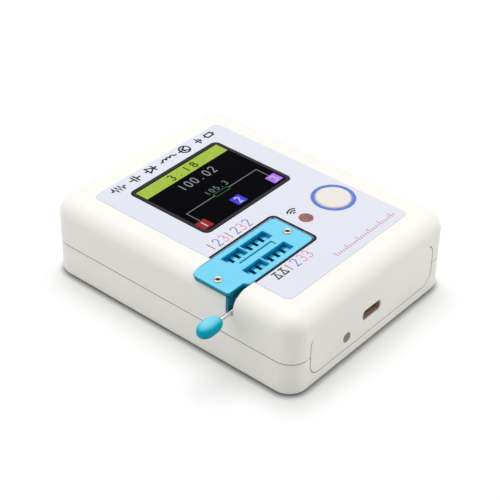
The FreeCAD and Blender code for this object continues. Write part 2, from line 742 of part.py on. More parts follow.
# Lever: journals with a crank between them, an arm and its knob
crank_y = ("socket_y - crank_length / 2", "socket_y + crank_length / 2")
near_journal = rod("near_journal", "y", ("lever_x", shaft_y, "lever_z"), "journal_diameter",
                   "%s - (%s)" % (crank_y[0], shaft_y))
far_journal = rod("far_journal", "y", ("lever_x", crank_y[1], "lever_z"), "journal_diameter",
                  "%s - (%s)" % (shaft_stop, crank_y[1]))
crank_start = ("lever_x - crank_offset", crank_y[0] + " - crank_throw", "lever_z + crank_offset")
crank = rod("crank", "y", crank_start, "crank_diameter", "crank_length + 2 * crank_throw")
arm = rod("arm", "x", ("lever_x - knob_start - knob_bore_depth", "lever_y", "lever_z"), "arm_diameter",
          "knob_start + knob_bore_depth")
fuse("zif_lever", near_journal, far_journal, crank, arm)

knob_far = "lever_x - knob_start - knob_length"
knob_ball = doc.addObject("Part::Sphere", "knob_ball")
knob_ball.Angle2 = 0
tie(knob_ball, "Radius", "knob_diameter / 2")
knob_cone = doc.addObject("Part::Cone", "knob_cone")
tie(knob_cone, "Radius1", "knob_diameter / 2")
tie(knob_cone, "Radius2", "knob_neck_diameter / 2")
tie(knob_cone, "Height", "knob_length - knob_diameter / 2")
for item in (knob_ball, knob_cone):
    item.Placement = FreeCAD.Placement(FreeCAD.Vector(), TURN["x"])
    tie(item, "Placement.Base.x", knob_far + " + knob_diameter / 2")
    tie(item, "Placement.Base.y", "lever_y")
    tie(item, "Placement.Base.z", "lever_z")
knob_bore = rod("knob_bore", "x", ("lever_x - knob_start - knob_bore_depth", "lever_y", "lever_z"),
                "arm_diameter + 2 * knob_clearance", "knob_bore_depth + " + OUT)
cut("zif_knob", fuse("knob_solid", knob_ball, knob_cone), knob_bore)

# Push button and its switch
button_spot = ("button_x", "button_y")
cap_top = rod("cap_top", "z", (*button_spot, "button_low"), "button_diameter", "button_top - button_low")
cap_flange = rod("cap_flange", "z", (*button_spot, "button_flange_low"),
                 "button_diameter + 2 * button_flange", "button_flange_thickness")
cap_socket = rod("cap_socket", "z", (*button_spot, "button_low - " + OUT), "plunger_diameter",
                 "button_socket_depth + " + OUT)
cap_solid = cut("cap_solid", fuse("cap_form", cap_top, cap_flange), cap_socket)
doc.recompute()
button_cap = doc.addObject("Part::Fillet", "button_cap")
button_cap.Base = cap_solid
cap_edges = level_edges(cap_solid.Shape, cap_solid.Shape.BoundBox.ZMax)
button_cap.Edges = [(int(name[4:]), SIZES["button_edge_radius"], SIZES["button_edge_radius"])
                    for name in cap_edges]
switch_block = block("switch_block", about("button_x", "switch_size"), about("button_y", "switch_size"),
                     ("board_top", "switch_top"))
plunger_bore = rod("plunger_bore", "z", (*button_spot, "switch_top - plunger_depth - 2 * button_travel"),
                   "plunger_diameter + 2 * plunger_clearance", "plunger_depth + 2 * button_travel + " + OUT)
cut("switch_body", switch_block, plunger_bore)
rod("switch_plunger", "z", (*button_spot, "switch_top - plunger_depth"), "plunger_diameter",
    "button_low + button_socket_depth - switch_top + plunger_depth")

# Infrared receiver
receiver_spot = ("receiver_x", "receiver_y")
receiver_box = block("receiver_box", about("receiver_x", "receiver_width"),
                     about("receiver_y", "receiver_depth"), ("receiver_low", "receiver_top"))
dome_neck = rod("dome_neck", "z", (*receiver_spot, "receiver_top"), "receiver_dome",
                "dome_middle - receiver_top")
dome = doc.addObject("Part::Sphere", "dome")
tie(dome, "Radius", "receiver_dome / 2")
for letter, text in zip("xyz", (*receiver_spot, "dome_middle")):
    tie(dome, "Placement.Base." + letter, text)
fuse("ir_receiver", receiver_box, dome_neck, dome)
group("ir_leads", [rod("lead_%d" % i, "z", (x, y, "board_height - contact_tail"), "lead_diameter",
                       "receiver_low - board_height + contact_tail") for i, (x, y) in enumerate(lead_spots)])

# Charging port
port_y = ("port_mouth", "port_mouth + port_depth")
port_block = rounded("port_block", "y", port_x, port_y, port_z, SIZES["port_height"] / 4)
port_hollow = rounded("port_hollow", "y", grown(port_x, "-port_metal"),
                      ("port_mouth - " + OUT, "port_mouth + port_depth - port_metal"),
                      grown(port_z, "-port_metal"), SIZES["port_height"] / 4 - SIZES["port_metal"])
cut("usb_shell", port_block, port_hollow)
block("usb_tongue", about("port_x", "tongue_width"),
      ("port_mouth + tongue_recess", "port_mouth + port_depth - port_metal"),
      about("board_height - port_height / 2", "tongue_height"))

# Charge light
led_bar = rod("led_bar", "y", ("led_x", "-half_length", "led_height"), "led_diameter", "led_length")
led_rim = rod("led_collar", "y", ("led_x", "led_back - led_rim_thickness", "led_height"),
              "led_diameter + 2 * led_rim", "led_rim_thickness")
fuse("charge_led", led_bar, led_rim)
led_leads = []
for i, side in enumerate(("-", "")):
    x = "led_x + (%s led_pitch)" % side
    level = rod("led_lead_level_%d" % i, "y", (x, "led_back", "led_height"), "lead_diameter", "led_bend")
    elbow = doc.addObject("Part::Sphere", "led_lead_elbow_%d" % i)
    tie(elbow, "Radius", "lead_diameter / 2")
    for letter, text in zip("xyz", (x, "led_back + led_bend", "led_height")):
        tie(elbow, "Placement.Base." + letter, text)
    rise = rod("led_lead_rise_%d" % i, "z", (x, "led_back + led_bend", "led_height"), "lead_diameter",
               "board_height - led_height")
    led_leads.append(fuse("led_lead_%d" % i, level, elbow, rise))
group("charge_led_leads", led_leads)

# Battery with its pad, wires and plug
battery_x = about("0", "battery_width")
battery_y = about("battery_y", "battery_length")
rounded("battery_cell", "y", battery_x, battery_y, ("battery_low", "battery_top"), SIZES["battery_radius"])
block("battery_pad", grown(battery_x, "-pad_inset"), grown(battery_y, "-pad_inset"), ("wall", "battery_low"))
plug_x = about("0", "plug_width")
plug_y = about("plug_y", "plug_depth")
block("battery_plug", plug_x, plug_y, ("plug_low", "header_low"))
block("battery_socket", grown(plug_x, "header_margin"), grown(plug_y, "header_margin"),
      ("header_low", "board_height"))


def wire(name, x):
    """Battery wire: out of the cell, round one bend and up into the plug."""
    level = rod(name + "_level", "y", (x, "battery_end", "wire_z"), "wire_diameter", "wire_run")
    bend = doc.addObject("Part::Torus", name + "_bend")
    bend.Placement = FreeCAD.Placement(FreeCAD.Vector(), TURN["x"])
    bend.Angle3 = 90
    tie(bend, "Radius1", "wire_bend")
    tie(bend, "Radius2", "wire_diameter / 2")
    for letter, text in zip("xyz", (x, "wire_turn", "wire_z + wire_bend")):
        tie(bend, "Placement.Base." + letter, text)
    rise = rod(name + "_rise", "z", (x, "plug_y", "wire_z + wire_bend"), "wire_diameter", "wire_rise")
    return fuse(name, level, bend, rise)


group("battery_leads", [wire("wire_plus", "wire_pitch / 2"), wire("wire_minus", "-wire_pitch / 2")])

# Parts on the board
block("processor_chip", about("0", "chip_size"), about("chip_y", "chip_size"),
      ("board_top", "board_top + chip_height"))
block("crystal_can", about("crystal_x", "crystal_width"), about("chip_y", "crystal_length"),
      ("board_top", "board_top + crystal_height"))
block("charger_chip", about("charger_x", "charger_width"), about("charger_y", "charger_length"),
      ("board_top", "board_top + charger_height"))
rod("boost_coil", "z", ("coil_x", "coil_y", "board_top"), "coil_diameter", "coil_height")
for kind, row in (("capacitor", range(8)), ("resistor", range(10))):
    row_x = ["%s_x + %d * small_pitch" % (kind, i) for i in row]
    group("board_%ss" % kind, [block("%s_%d" % (kind, i), about(x, kind + "_width"),
                                     about(kind + "_y", kind + "_length"),
                                     ("board_top", "board_top + %s_height" % kind))
                               for i, x in enumerate(row_x)])

NODES = """top_shell bottom_shell end_panel face_overlay display_window case_screws main_board
lcd_glass lcd_backlight lcd_ribbon display_frame zif_base zif_cover zif_slider zif_contacts zif_rivets
zif_lever zif_knob button_cap switch_body switch_plunger ir_receiver ir_leads usb_shell usb_tongue
charge_led charge_led_leads battery_cell battery_pad battery_leads battery_plug battery_socket
processor_chip charger_chip boost_coil crystal_can board_capacitors board_resistors""".split()

doc.recompute()
faults = [item.Name for item in doc.Objects if "Invalid" in item.State or "Error" in item.State]
for name in NODES:
    shape = doc.getObject(name).Shape
    if shape.isNull() or not shape.isValid() or not shape.Solids:
        faults.append(name)
if faults:
    raise RuntimeError("failed objects: " + ", ".join(faults))
os.makedirs("parts", exist_ok=True)
for name in NODES:
    item = doc.getObject(name)
    item.Label = name
    item.Shape.exportStep(os.path.join("parts", name + ".step"))
    print(name, len(item.Shape.Solids), round(item.Shape.Volume, 2))
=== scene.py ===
import bmesh
import bpy
import json
import math
from mathutils import Matrix, Vector


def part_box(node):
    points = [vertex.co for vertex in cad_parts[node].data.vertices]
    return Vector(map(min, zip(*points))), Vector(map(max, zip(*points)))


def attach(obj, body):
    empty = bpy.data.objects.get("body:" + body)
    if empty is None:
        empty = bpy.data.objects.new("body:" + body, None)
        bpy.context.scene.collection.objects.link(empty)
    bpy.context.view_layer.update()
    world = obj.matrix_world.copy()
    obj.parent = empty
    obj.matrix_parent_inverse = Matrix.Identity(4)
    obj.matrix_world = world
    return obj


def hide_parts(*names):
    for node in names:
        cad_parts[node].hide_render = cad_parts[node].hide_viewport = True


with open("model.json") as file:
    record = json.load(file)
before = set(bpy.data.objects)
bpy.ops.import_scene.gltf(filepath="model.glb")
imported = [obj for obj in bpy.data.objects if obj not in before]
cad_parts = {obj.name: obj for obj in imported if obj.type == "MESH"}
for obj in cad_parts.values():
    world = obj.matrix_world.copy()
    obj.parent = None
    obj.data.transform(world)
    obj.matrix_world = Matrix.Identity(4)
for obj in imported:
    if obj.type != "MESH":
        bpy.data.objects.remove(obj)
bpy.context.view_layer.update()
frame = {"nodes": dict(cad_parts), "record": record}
nodes = frame["nodes"]
bodyOf = {node: body for body, members in frame["record"]["behaviour"]["bodies"].items() for node in members}
slotOf = {part["node"]: part["material_slot"] for part in frame["record"]["subparts"]}
scene = bpy.context.scene
mm = 0.001
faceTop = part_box("face_overlay")[1].z


# node inputs are values, sockets to link from, or lists of such sockets
def fillIn(tree, node, inputs):
    for key, value in inputs.items():
        sources = value if isinstance(value, list) else [value]
        if isinstance(sources[0], bpy.types.NodeSocket):
            for source in sources:
                tree.links.new(source, node.inputs[key])
        else:
            node.inputs[key].default_value = value
    return node


def addNode(tree, kind, inputs=None, **settings):
    node = tree.nodes.new(kind)
    for key, value in settings.items():
        setattr(node, key, value)
    return fillIn(tree, node, inputs or {})


def mathOn(tree, operation, *values):
    return addNode(tree, "ShaderNodeMath", dict(enumerate(values)), operation=operation).outputs[0]


def mixOn(tree, factor, one, two, blend="MIX"):
    inputs = {"Factor": factor, 6: one, 7: two}
    return addNode(tree, "ShaderNodeMix", inputs, data_type="RGBA", blend_type=blend).outputs[2]


def startShader(name):
    material = bpy.data.materials.new(name)
    material.use_nodes = True
    tree = material.node_tree
    return material, tree, tree.nodes["Principled BSDF"]


def noiseOn(tree, scale, detail=2.0):
    coords = addNode(tree, "ShaderNodeTexCoord")
    inputs = {"Vector": coords.outputs["Object"], "Scale": scale, "Detail": detail}
    return addNode(tree, "ShaderNodeTexNoise", inputs).outputs["Fac"]


def rampOn(tree, source, low, high, start=0.35, stop=0.65, between=()):
    ramp = addNode(tree, "ShaderNodeValToRGB", {"Fac": source})
    stops = ramp.color_ramp.elements
    stops[0].position = start
    stops[1].position = stop
    stops[0].color = (*low, 1)
    stops[1].color = (*high, 1)
    for place, tint in between:
        stops.new(place).color = (*tint, 1)
    return ramp.outputs["Color"]


def rangeOn(tree, source, low, high):
    return addNode(tree, "ShaderNodeMapRange", {"Value": source, "To Min": low, "To Max": high}).outputs["Result"]


def bumpOn(tree, source, distance, strength=0.5):
    inputs = {"Height": source, "Strength": strength, "Distance": distance}
    return addNode(tree, "ShaderNodeBump", inputs).outputs["Normal"]


def srgb(red, green, blue):
    def linear(value):
        value /= 255
        return value / 12.92 if value <= 0.04045 else ((value + 0.055) / 1.055) ** 2.4
    return linear(red), linear(green), linear(blue)


# one recipe: a tint that wanders a little, a fine surface grain and an uneven gloss
specular = "Specular IOR Level"
glossToBlotch = 6


def makeFinish(name, tint, wander, blotch, grain, depth, rough, sockets=None):
    material, tree, shader = startShader(name)
    low = tuple(max(0.0, c * (1 - wander)) for c in tint)
    high = tuple(min(1.0, c * (1 + wander)) for c in tint)
    fillIn(tree, shader, {
        "Base Color": rampOn(tree, noiseOn(tree, blotch), low, high),
        "Roughness": rangeOn(tree, noiseOn(tree, blotch * glossToBlotch), *rough),
        "Normal": bumpOn(tree, noiseOn(tree, grain), depth * mm), **(sockets or {})})
    return material


# moulded blue plastic with painted sheen and shade: paler where it faces up, deeper on the sides and underneath
mouldingAndPaintedLight = {"under": 0.2, "side": 0.55, "up": 0.96, "cloud": 90, "cloudShare": 0.5,
            "cloudTints": ((0.94, 0.95, 0.96), (1.0, 1.0, 1.0)), "gloss": 500, "rough": (0.34, 0.44),
            "grain": 3500, "grainDepth": 0.006, "shine": 0.22}


# painted sheen and shade: a tint picked by which way a face points in the piece's own axes
def paintedFacingLight(tree, up, side, under, middle=mouldingAndPaintedLight["side"]):
    coords = addNode(tree, "ShaderNodeTexCoord")
    axes = addNode(tree, "ShaderNodeSeparateXYZ", {0: coords.outputs["Normal"]})
    facing = addNode(tree, "ShaderNodeMapRange", {"Value": axes.outputs["Z"], "From Min": -1.0, "From Max": 1.0})
    stops = (mouldingAndPaintedLight["under"], mouldingAndPaintedLight["up"], [(middle, side)])
    return rampOn(tree, facing.outputs["Result"], under, up, *stops)


# 0 to 1 over a stretch of each pitch along an axis
def zoneOn(tree, axis, start, pitch, low, high):
    coords = addNode(tree, "ShaderNodeTexCoord")
    axes = addNode(tree, "ShaderNodeSeparateXYZ", {0: coords.outputs["Object"]})
    along = mathOn(tree, "SUBTRACT", axes.outputs[axis], start * mm)
    share = mathOn(tree, "FRACT", mathOn(tree, "DIVIDE", along, pitch * mm))
    inputs = {"Value": share, "From Min": low / pitch, "From Max": high / pitch}
    return addNode(tree, "ShaderNodeMapRange", inputs).outputs["Result"]


def makeMoulding(name, tints, zone=None, zoneTints=None, shine=mouldingAndPaintedLight["shine"]):
    material, tree, shader = startShader(name)
    tint = paintedFacingLight(tree, *tints)
    if zone:
        tint = mixOn(tree, zoneOn(tree, *zone), tint, paintedFacingLight(tree, *zoneTints))
    cloud = rampOn(tree, noiseOn(tree, mouldingAndPaintedLight["cloud"]), *mouldingAndPaintedLight["cloudTints"])
    fillIn(tree, shader, {
        "Base Color": mixOn(tree, mouldingAndPaintedLight["cloudShare"], tint, cloud, "MULTIPLY"),
        "Roughness": rangeOn(tree, noiseOn(tree, mouldingAndPaintedLight["gloss"]), *mouldingAndPaintedLight["rough"]),
        "Normal": bumpOn(tree, noiseOn(tree, mouldingAndPaintedLight["grain"]), mouldingAndPaintedLight["grainDepth"] * mm), specular: shine})
    return material


# lit shapes on the display
glowing = {"base": (0.01, 0.01, 0.012, 1), "rough": 0.5, "shine": 0.01, "blotch": 900, "dip": 0.9}


def makeGlow(name, tint):
    material, tree, shader = startShader(name)
    dark = tuple(c * glowing["dip"] for c in tint)
    fillIn(tree, shader, {
        "Base Color": glowing["base"], "Roughness": glowing["rough"], specular: glowing["shine"],
        "Emission Color": rampOn(tree, noiseOn(tree, glowing["blotch"]), dark, tint), "Emission Strength": 1.0})
    return material


# tint, wander, blotch scale, grain scale, grain depth in mm, roughness, other sockets
plainFinishes = {
    "caseWhite": ((250, 248, 241), 0.015, 40, 4200, 0.01, (0.42, 0.52), {specular: 0.4}),
    # seamShade: the tint of the painted shade in the joints of the case
    "seamShade": ((146, 138, 120), 0.05, 90, 3000, 0.004, (0.6, 0.7)),
    "faceFilm": ((226, 228, 240), 0.012, 30, 2600, 0.004, (0.38, 0.46), {specular: 0.35}),
    "paneBlack": ((7, 6, 9), 0.1, 50, 300, 0.0005, (0.1, 0.14), {specular: 0.006}),
    "paneRim": ((42, 38, 43), 0.06, 200, 900, 0.001, (0.3, 0.4), {specular: 0.1}),
    "eyeletDark": ((118, 96, 78), 0.15, 600, 2500, 0.004, (0.4, 0.5)),
    # linerTan: the tint of the painted shade lining the port's slot
    "linerTan": ((176, 154, 134), 0.06, 300, 1500, 0.002, (0.4, 0.5)),
    "blackPlastic": ((32, 31, 33), 0.1, 120, 4000, 0.006, (0.4, 0.55)),
    "lampGrey": ((120, 117, 112), 0.06, 200, 2000, 0.003, (0.3, 0.4)),
    "receiverBrown": ((136, 94, 84), 0.1, 400, 3000, 0.004, (0.25, 0.35)),
    "buttonCream": ((236, 230, 224), 0.012, 60, 3600, 0.006, (0.36, 0.46), {specular: 0.35}),
    "boardGreen": ((22, 92, 52), 0.12, 140, 1800, 0.01, (0.3, 0.42)),
    "glassGrey": ((46, 50, 54), 0.06, 60, 400, 0.0005, (0.06, 0.1)),
    "backWhite": ((226, 228, 226), 0.02, 60, 2600, 0.004, (0.35, 0.45)),
    "flexAmber": ((176, 108, 40), 0.08, 160, 2200, 0.003, (0.3, 0.4)),
    "cellFoil": ((196, 200, 204), 0.05, 90, 900, 0.03, (0.24, 0.34), {"Metallic": 0.9}),
    "foamGrey": ((84, 84, 86), 0.15, 500, 2600, 0.06, (0.8, 0.95)),
    "wireSkin": ((170, 38, 34), 0.05, 120, 3000, 0.004, (0.4, 0.5)),
    "plugWhite": ((232, 228, 214), 0.02, 80, 3600, 0.006, (0.4, 0.5)),
    "ceramicTan": ((168, 138, 102), 0.08, 300, 2600, 0.004, (0.4, 0.55)),
}
# the same row, with a linear tint
metalFinishes = {
    "eyeletNickel": ((0.5, 0.47, 0.42), 0.1, 300, 2500, 0.004, (0.24, 0.36)),
    "steelBright": ((0.66, 0.64, 0.61), 0.06, 200, 900, 0.0004, (0.2, 0.3)),
    "springBrass": ((0.72, 0.52, 0.24), 0.08, 300, 3000, 0.002, (0.25, 0.35)),
    # portSteel: the port's shell, darker and browner than bright steel: painted shade inside the port
    "portSteel": ((0.15, 0.115, 0.08), 0.1, 300, 1500, 0.002, (0.35, 0.45)),
}
inkTints = {
    "printBlack": ((30, 30, 36), 0.1), "printRed": ((196, 96, 96), 0.04), "printBlue": ((104, 126, 206), 0.04),
    "printPink": ((226, 150, 188), 0.04), "printRose": ((172, 92, 96), 0.05), "printEdge": ((8, 18, 24), 0.1),
}
inkSurface = (400, 3000, 0.002, (0.45, 0.55), {specular: 0.12})
glowTints = {
    "glowLime": (168, 198, 70), "glowWhite": (196, 198, 208), "glowText": (152, 152, 168), "glowOlive": (58, 72, 26),
    "glowLine": (120, 124, 132), "glowRed": (160, 34, 44), "glowBlue": (70, 62, 230), "glowPurple": (186, 116, 246),
    "glowGreen": (38, 88, 40),
}
# painted sheen and shade: tints facing up, sideways and down; a zone with its own tints where there is one
mouldedFinishes = {
    "socketBlue": {"tints": (srgb(120, 216, 247), srgb(0, 138, 154), srgb(0, 92, 110)),
                   # below x = -31 mm, on the cover's front lip, the sides take the deeper tint: painted shade
                   "zone": ("X", -40, 1000, 9, 12),
                   "zoneTints": (srgb(120, 216, 247), srgb(0, 172, 226), srgb(0, 92, 114))},
    "knobBlue": {"tints": (srgb(136, 224, 250), srgb(0, 183, 209), srgb(0, 140, 160), 0.78), "shine": 0.05},
    # a darker copy of the socket's blue for the base and the groove: painted shade
    "socketInner": {"tints": (srgb(4, 84, 108), srgb(2, 128, 160), srgb(0, 62, 84))},
    "sliderBlue": {"tints": (srgb(132, 232, 252), srgb(2, 122, 156), srgb(0, 66, 88)),
                   # the slider's top is pale over the first 2.3 mm of each 7.62 mm step along Y and deeper from 2.75
                   # mm on: painted shade by the window walls
                   "zone": ("Y", -21.9, 7.62, 2.3, 2.75),
                   "zoneTints": (srgb(0, 150, 200), srgb(2, 122, 156), srgb(0, 66, 88))},
}
finishes = {name: makeFinish(name, srgb(*tint), *row) for name, (tint, *row) in plainFinishes.items()}
finishes.update({name: makeFinish(name, *row, {"Metallic": 1.0}) for name, row in metalFinishes.items()})
finishes.update({name: makeFinish(name, srgb(*tint), wander, *inkSurface)
                 for name, (tint, wander) in inkTints.items()})
finishes.update({name: makeMoulding(name, **look) for name, look in mouldedFinishes.items()})
finishes.update({name: makeGlow(name, srgb(*tint)) for name, tint in glowTints.items()})
slotFinish = {
    "case_plastic": "caseWhite", "face_film": "faceFilm", "window_clear": "paneBlack",
    "display_glass": "glassGrey", "display_back": "backWhite", "flex_film": "flexAmber",
    "board_green": "boardGreen", "socket_blue": "socketBlue", "contact_brass": "springBrass",
    "rivet_metal": "eyeletNickel", "steel": "steelBright", "dark_plastic": "blackPlastic",
    "lamp_grey": "lampGrey", "cell_foil": "cellFoil", "foam": "foamGrey", "wire_skin": "wireSkin",
    "pale_plastic": "plugWhite", "ceramic": "ceramicTan",
}
print("finishes ready:", len(finishes))


# every CAD node starts with the finish of its slot
for node, item in nodes.items():
    item.data.materials.clear()
    item.data.materials.append(finishes[slotFinish[slotOf[node]]])
print("CAD nodes finished:", len(nodes))


def settle(name, mesh, finish, body, slot, *stands):
    mesh.materials.clear()
    mesh.materials.append(finishes[finish])
    piece = bpy.data.objects.new(name, mesh)
    scene.collection.objects.link(piece)
    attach(piece, body)
    if stands:
        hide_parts(*stands)
    return piece


def meshFrom(work, name):
    bmesh.ops.recalc_face_normals(work, faces=work.faces)
    mesh = bpy.data.meshes.new(name)
    work.to_mesh(mesh)
    work.free()
    return mesh


def moveMesh(mesh, x, y, z):
    mesh.transform(Matrix.Translation((x, y, z)))


# flat outlines, in mm
def arc(cx, cy, radius, start, stop, steps=14, squash=1.0):
    turn = [math.radians(start + (stop - start) * i / steps) for i in range(steps + 1)]
    return [(cx + radius * math.cos(a), cy + radius * squash * math.sin(a)) for a in turn]


def disc(cx, cy, radius, steps=48):
    return arc(cx, cy, radius, 0, 360 - 360 / steps, steps - 1)


def box2d(x0, y0, x1, y1):
    return [(x0, y0), (x1, y0), (x1, y1), (x0, y1)]


# anticlockwise, from the corner with that number: 0 is the upper right
def roundedBox(x0, y0, x1, y1, radius, steps, first=0):
    centres = box2d(x1 - radius, y1 - radius, x0 + radius, y0 + radius)
    path = []
    for corner in [(first + i) % 4 for i in range(4)]:
        path += arc(*centres[corner], radius, 90 * corner, 90 * corner + 90, steps)
    return path


def moved(points, x, y):
    return [(x + px, y + py) for px, py in points]


# quads along a line, mitred at its bends
miterLimit = 0.5


def ribbon(points, width, closed=False):
    count = len(points)
    left, right = [], []
    for i, point in enumerate(points):
        here = Vector(point)
        before = Vector(points[i - 1]) if i or closed else None
        after = Vector(points[(i + 1) % count]) if i < count - 1 or closed else None
        run = Vector((0, 0))
        if before is not None:
            run += (here - before).normalized()
        if after is not None:
            run += (after - here).normalized()
        side = Vector((-run.y, run.x)).normalized()
        lean = (after - here).normalized() if after is not None else (here - before).normalized()
        reach = width / 2 / max(miterLimit, abs(side.dot(Vector((-lean.y, lean.x)))))
        left.append(here + side * reach)
        right.append(here - side * reach)
    quads = []
    for i in range(count if closed else count - 1):
        j = (i + 1) % count
        quads.append([right[i], right[j], left[j], left[i]])
    return quads


# outlines turned into a thin closed sheet between two heights
sheetMerge = 0.001 * mm


def sheetMesh(name, outlines, low, high):
    work = bmesh.new()
    for outline in outlines:
        work.faces.new([work.verts.new((x * mm, y * mm, low)) for x, y in outline])
    bmesh.ops.remove_doubles(work, verts=work.verts, dist=sheetMerge)
    bmesh.ops.recalc_face_normals(work, faces=work.faces)
    grown = bmesh.ops.extrude_face_region(work, geom=list(work.faces))
    for item in grown["geom"]:
        if isinstance(item, bmesh.types.BMVert):
            item.co.z = high
    return meshFrom(work, name)


def layFlat(name, outlines, finish, slot, low, high):
    return settle(name, sheetMesh(name, outlines, low, high), finish, "case", slot)


def standUp(piece):
    piece.data.transform(Matrix.Rotation(math.pi / 2, 4, "X"))  # a flat sheet turned to face the port's end


# a CAD node's own shape, merged, with softened edges; widths in mm
softEdges = {
    "top_shell": 0.22, "bottom_shell": 0.22, "end_panel": 0.25, "zif_cover": 0.2, "zif_base": 0.0,
    "zif_slider": 0.0, "ir_receiver": 0.0, "display_window": 0.1, "face_overlay": 0.08,
    "usb_shell": 0.1, "zif_lever": 0.1,
}
# the socket's base and the port's shell take darker finishes: painted shade
innerFinish = {"zif_slider": "sliderBlue", "zif_base": "socketInner", "ir_receiver": "receiverBrown",
               "usb_shell": "portSteel"}
softening = {"merge": 0.002 * mm, "segments": 2, "bevelAngle": math.radians(40), "sharpAngle": math.radians(35)}
filmSpread = (1.0018, 1.0013)
coverCorner = {"radius": 2.6, "steps": 10, "spare": 1.0}


# one corner of the socket cover, cut rounder
def trimCover(mesh):
    low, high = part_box("zif_cover")
    r, spare = coverCorner["radius"], coverCorner["spare"]
    x, y = low.x / mm, high.y / mm
    outline = arc(x + r, y - r, r, 90, 180, coverCorner["steps"])
    outline += [(x - spare, y - r), (x - spare, y + spare), (x + r, y + spare)]
    block = sheetMesh("corner_knife", [outline], low.z - spare * mm, high.z + spare * mm)
    knife = bpy.data.objects.new("corner_knife", block)
    plate = bpy.data.objects.new("cover_plate", mesh)
    for item in (knife, plate):
        scene.collection.objects.link(item)
    trim = plate.modifiers.new("trim", "BOOLEAN")
    trim.operation, trim.object = "DIFFERENCE", knife
    mesh = bpy.data.meshes.new_from_object(plate.evaluated_get(bpy.context.evaluated_depsgraph_get()))
    for item in (knife, plate):
        bpy.data.objects.remove(item)
    return mesh


def softenNode(node, width, finish):
    mesh = nodes[node].data.copy()
    for attribute in [a for a in mesh.attributes if a.name == "custom_normal"]:
        mesh.attributes.remove(attribute)
    work = bmesh.new()
    work.from_mesh(mesh)
    bmesh.ops.remove_doubles(work, verts=work.verts, dist=softening["merge"])
    for face in work.faces:
        face.smooth = True
    work.to_mesh(mesh)
    work.free()
    if node == "face_overlay":
        mesh.transform(Matrix.Diagonal((*filmSpread, 1, 1)))
    if node == "zif_cover":
        mesh = trimCover(mesh)
    piece = settle("soft_" + node, mesh, finish, bodyOf[node], slotOf[node], node)
    if width:
        bevel = piece.modifiers.new("softEdge", "BEVEL")
        bevel.width = width * mm
        bevel.segments = softening["segments"]
        bevel.limit_method = "ANGLE"
        bevel.angle_limit = softening["bevelAngle"]
        bevel.use_clamp_overlap = False
        bevel.loop_slide = False
        piece.modifiers.new("evenShade", "WEIGHTED_NORMAL").keep_sharp = True
    else:
        mesh.set_sharp_from_angle(angle=softening["sharpAngle"])


for node, width in softEdges.items():
    softenNode(node, width, innerFinish.get(node, slotFinish[slotOf[node]]))
print("soft edges:", len(softEdges))


# digits as strokes in a cell one high
digitStrokes = {
    "0": [arc(0.26, 0.5, 0.25, 90, 450, 24, 2.0)],
    "1": [[(0.26, 0.0), (0.26, 1.0)]],
    "2": [arc(0.26, 0.75, 0.25, 165, -40) + [(0.03, 0.02), (0.52, 0.02)]],
    "3": [arc(0.24, 0.76, 0.23, 155, -80), arc(0.24, 0.27, 0.27, 85, -155)],
    "5": [[(0.5, 0.98), (0.08, 0.98), (0.06, 0.56)] + arc(0.24, 0.31, 0.29, 120, -150)],
    "8": [arc(0.26, 0.74, 0.22, 90, 450, 20), arc(0.26, 0.27, 0.26, 90, 450, 20)],
    ".": [[(0.2, 0.0), (0.2, 0.13)]],
}
digitCell = {"middle": (0.26, 0.5), "pitch": 0.72}


def digitsAt(text, x, y, height, stroke, pitch=None):
    quads = []
    midX, midY = digitCell["middle"]
    step = pitch or height * digitCell["pitch"]
    start = x - step * (len(text) - 1) / 2
    for i, letter in enumerate(text):
        for stretch in digitStrokes[letter]:
            cell = [((px - midX) * height, (py - midY) * height) for px, py in stretch]
            quads += ribbon(moved(cell, start + i * step, y), stroke)
    return quads


# labels printed on the face film; a ring has its middle and its two radii
faceMarks = {
    "digitHeight": 3.3, "digitStroke": 0.34, "upperY": -5.1, "lowerY": -26.9,
    "upperDigits": [("1", -22.6, "printRed"), ("2", -19.9, "printBlue"), ("3", -17.3, "printPink"),
                    ("1", -15.1, "printRed"), ("2", -12.3, "printBlue"), ("3", -9.9, "printPink"),
                    ("2", -7.3, "printBlue")],
    "lowerDigits": [("1", -15.6, "printRed"), ("2", -12.8, "printBlue"), ("3", -10.0, "printPink"),
                    ("3", -7.5, "printPink")],
    "diodeSpots": [-20.6, -17.9], "diodeStroke": 0.42,
    "diodeBody": [(-0.9, -1.3), (0.9, -1.3), (0, 0.9)], "diodeBar": [(-0.95, 1.3), (0.95, 1.3)],
    "ring": (18.7, -15.6, 5.42, 6.6), "eyeRing": (5.6, -16.0, 1.48, 2.15), "ringSides": 72,
    "waveAt": (5.3, -12.6), "waveRadii": (0.7, 1.6, 2.5), "waveSweep": (45, 135, 10), "waveStroke": 0.5,
    "symbolY": 33.5, "symbolStroke": 0.54,
    "borderWidth": 0.78, "borderCorner": 1.6, "borderGap": 0.2,
    "inkSink": 0.01, "inkRise": 0.02,
}
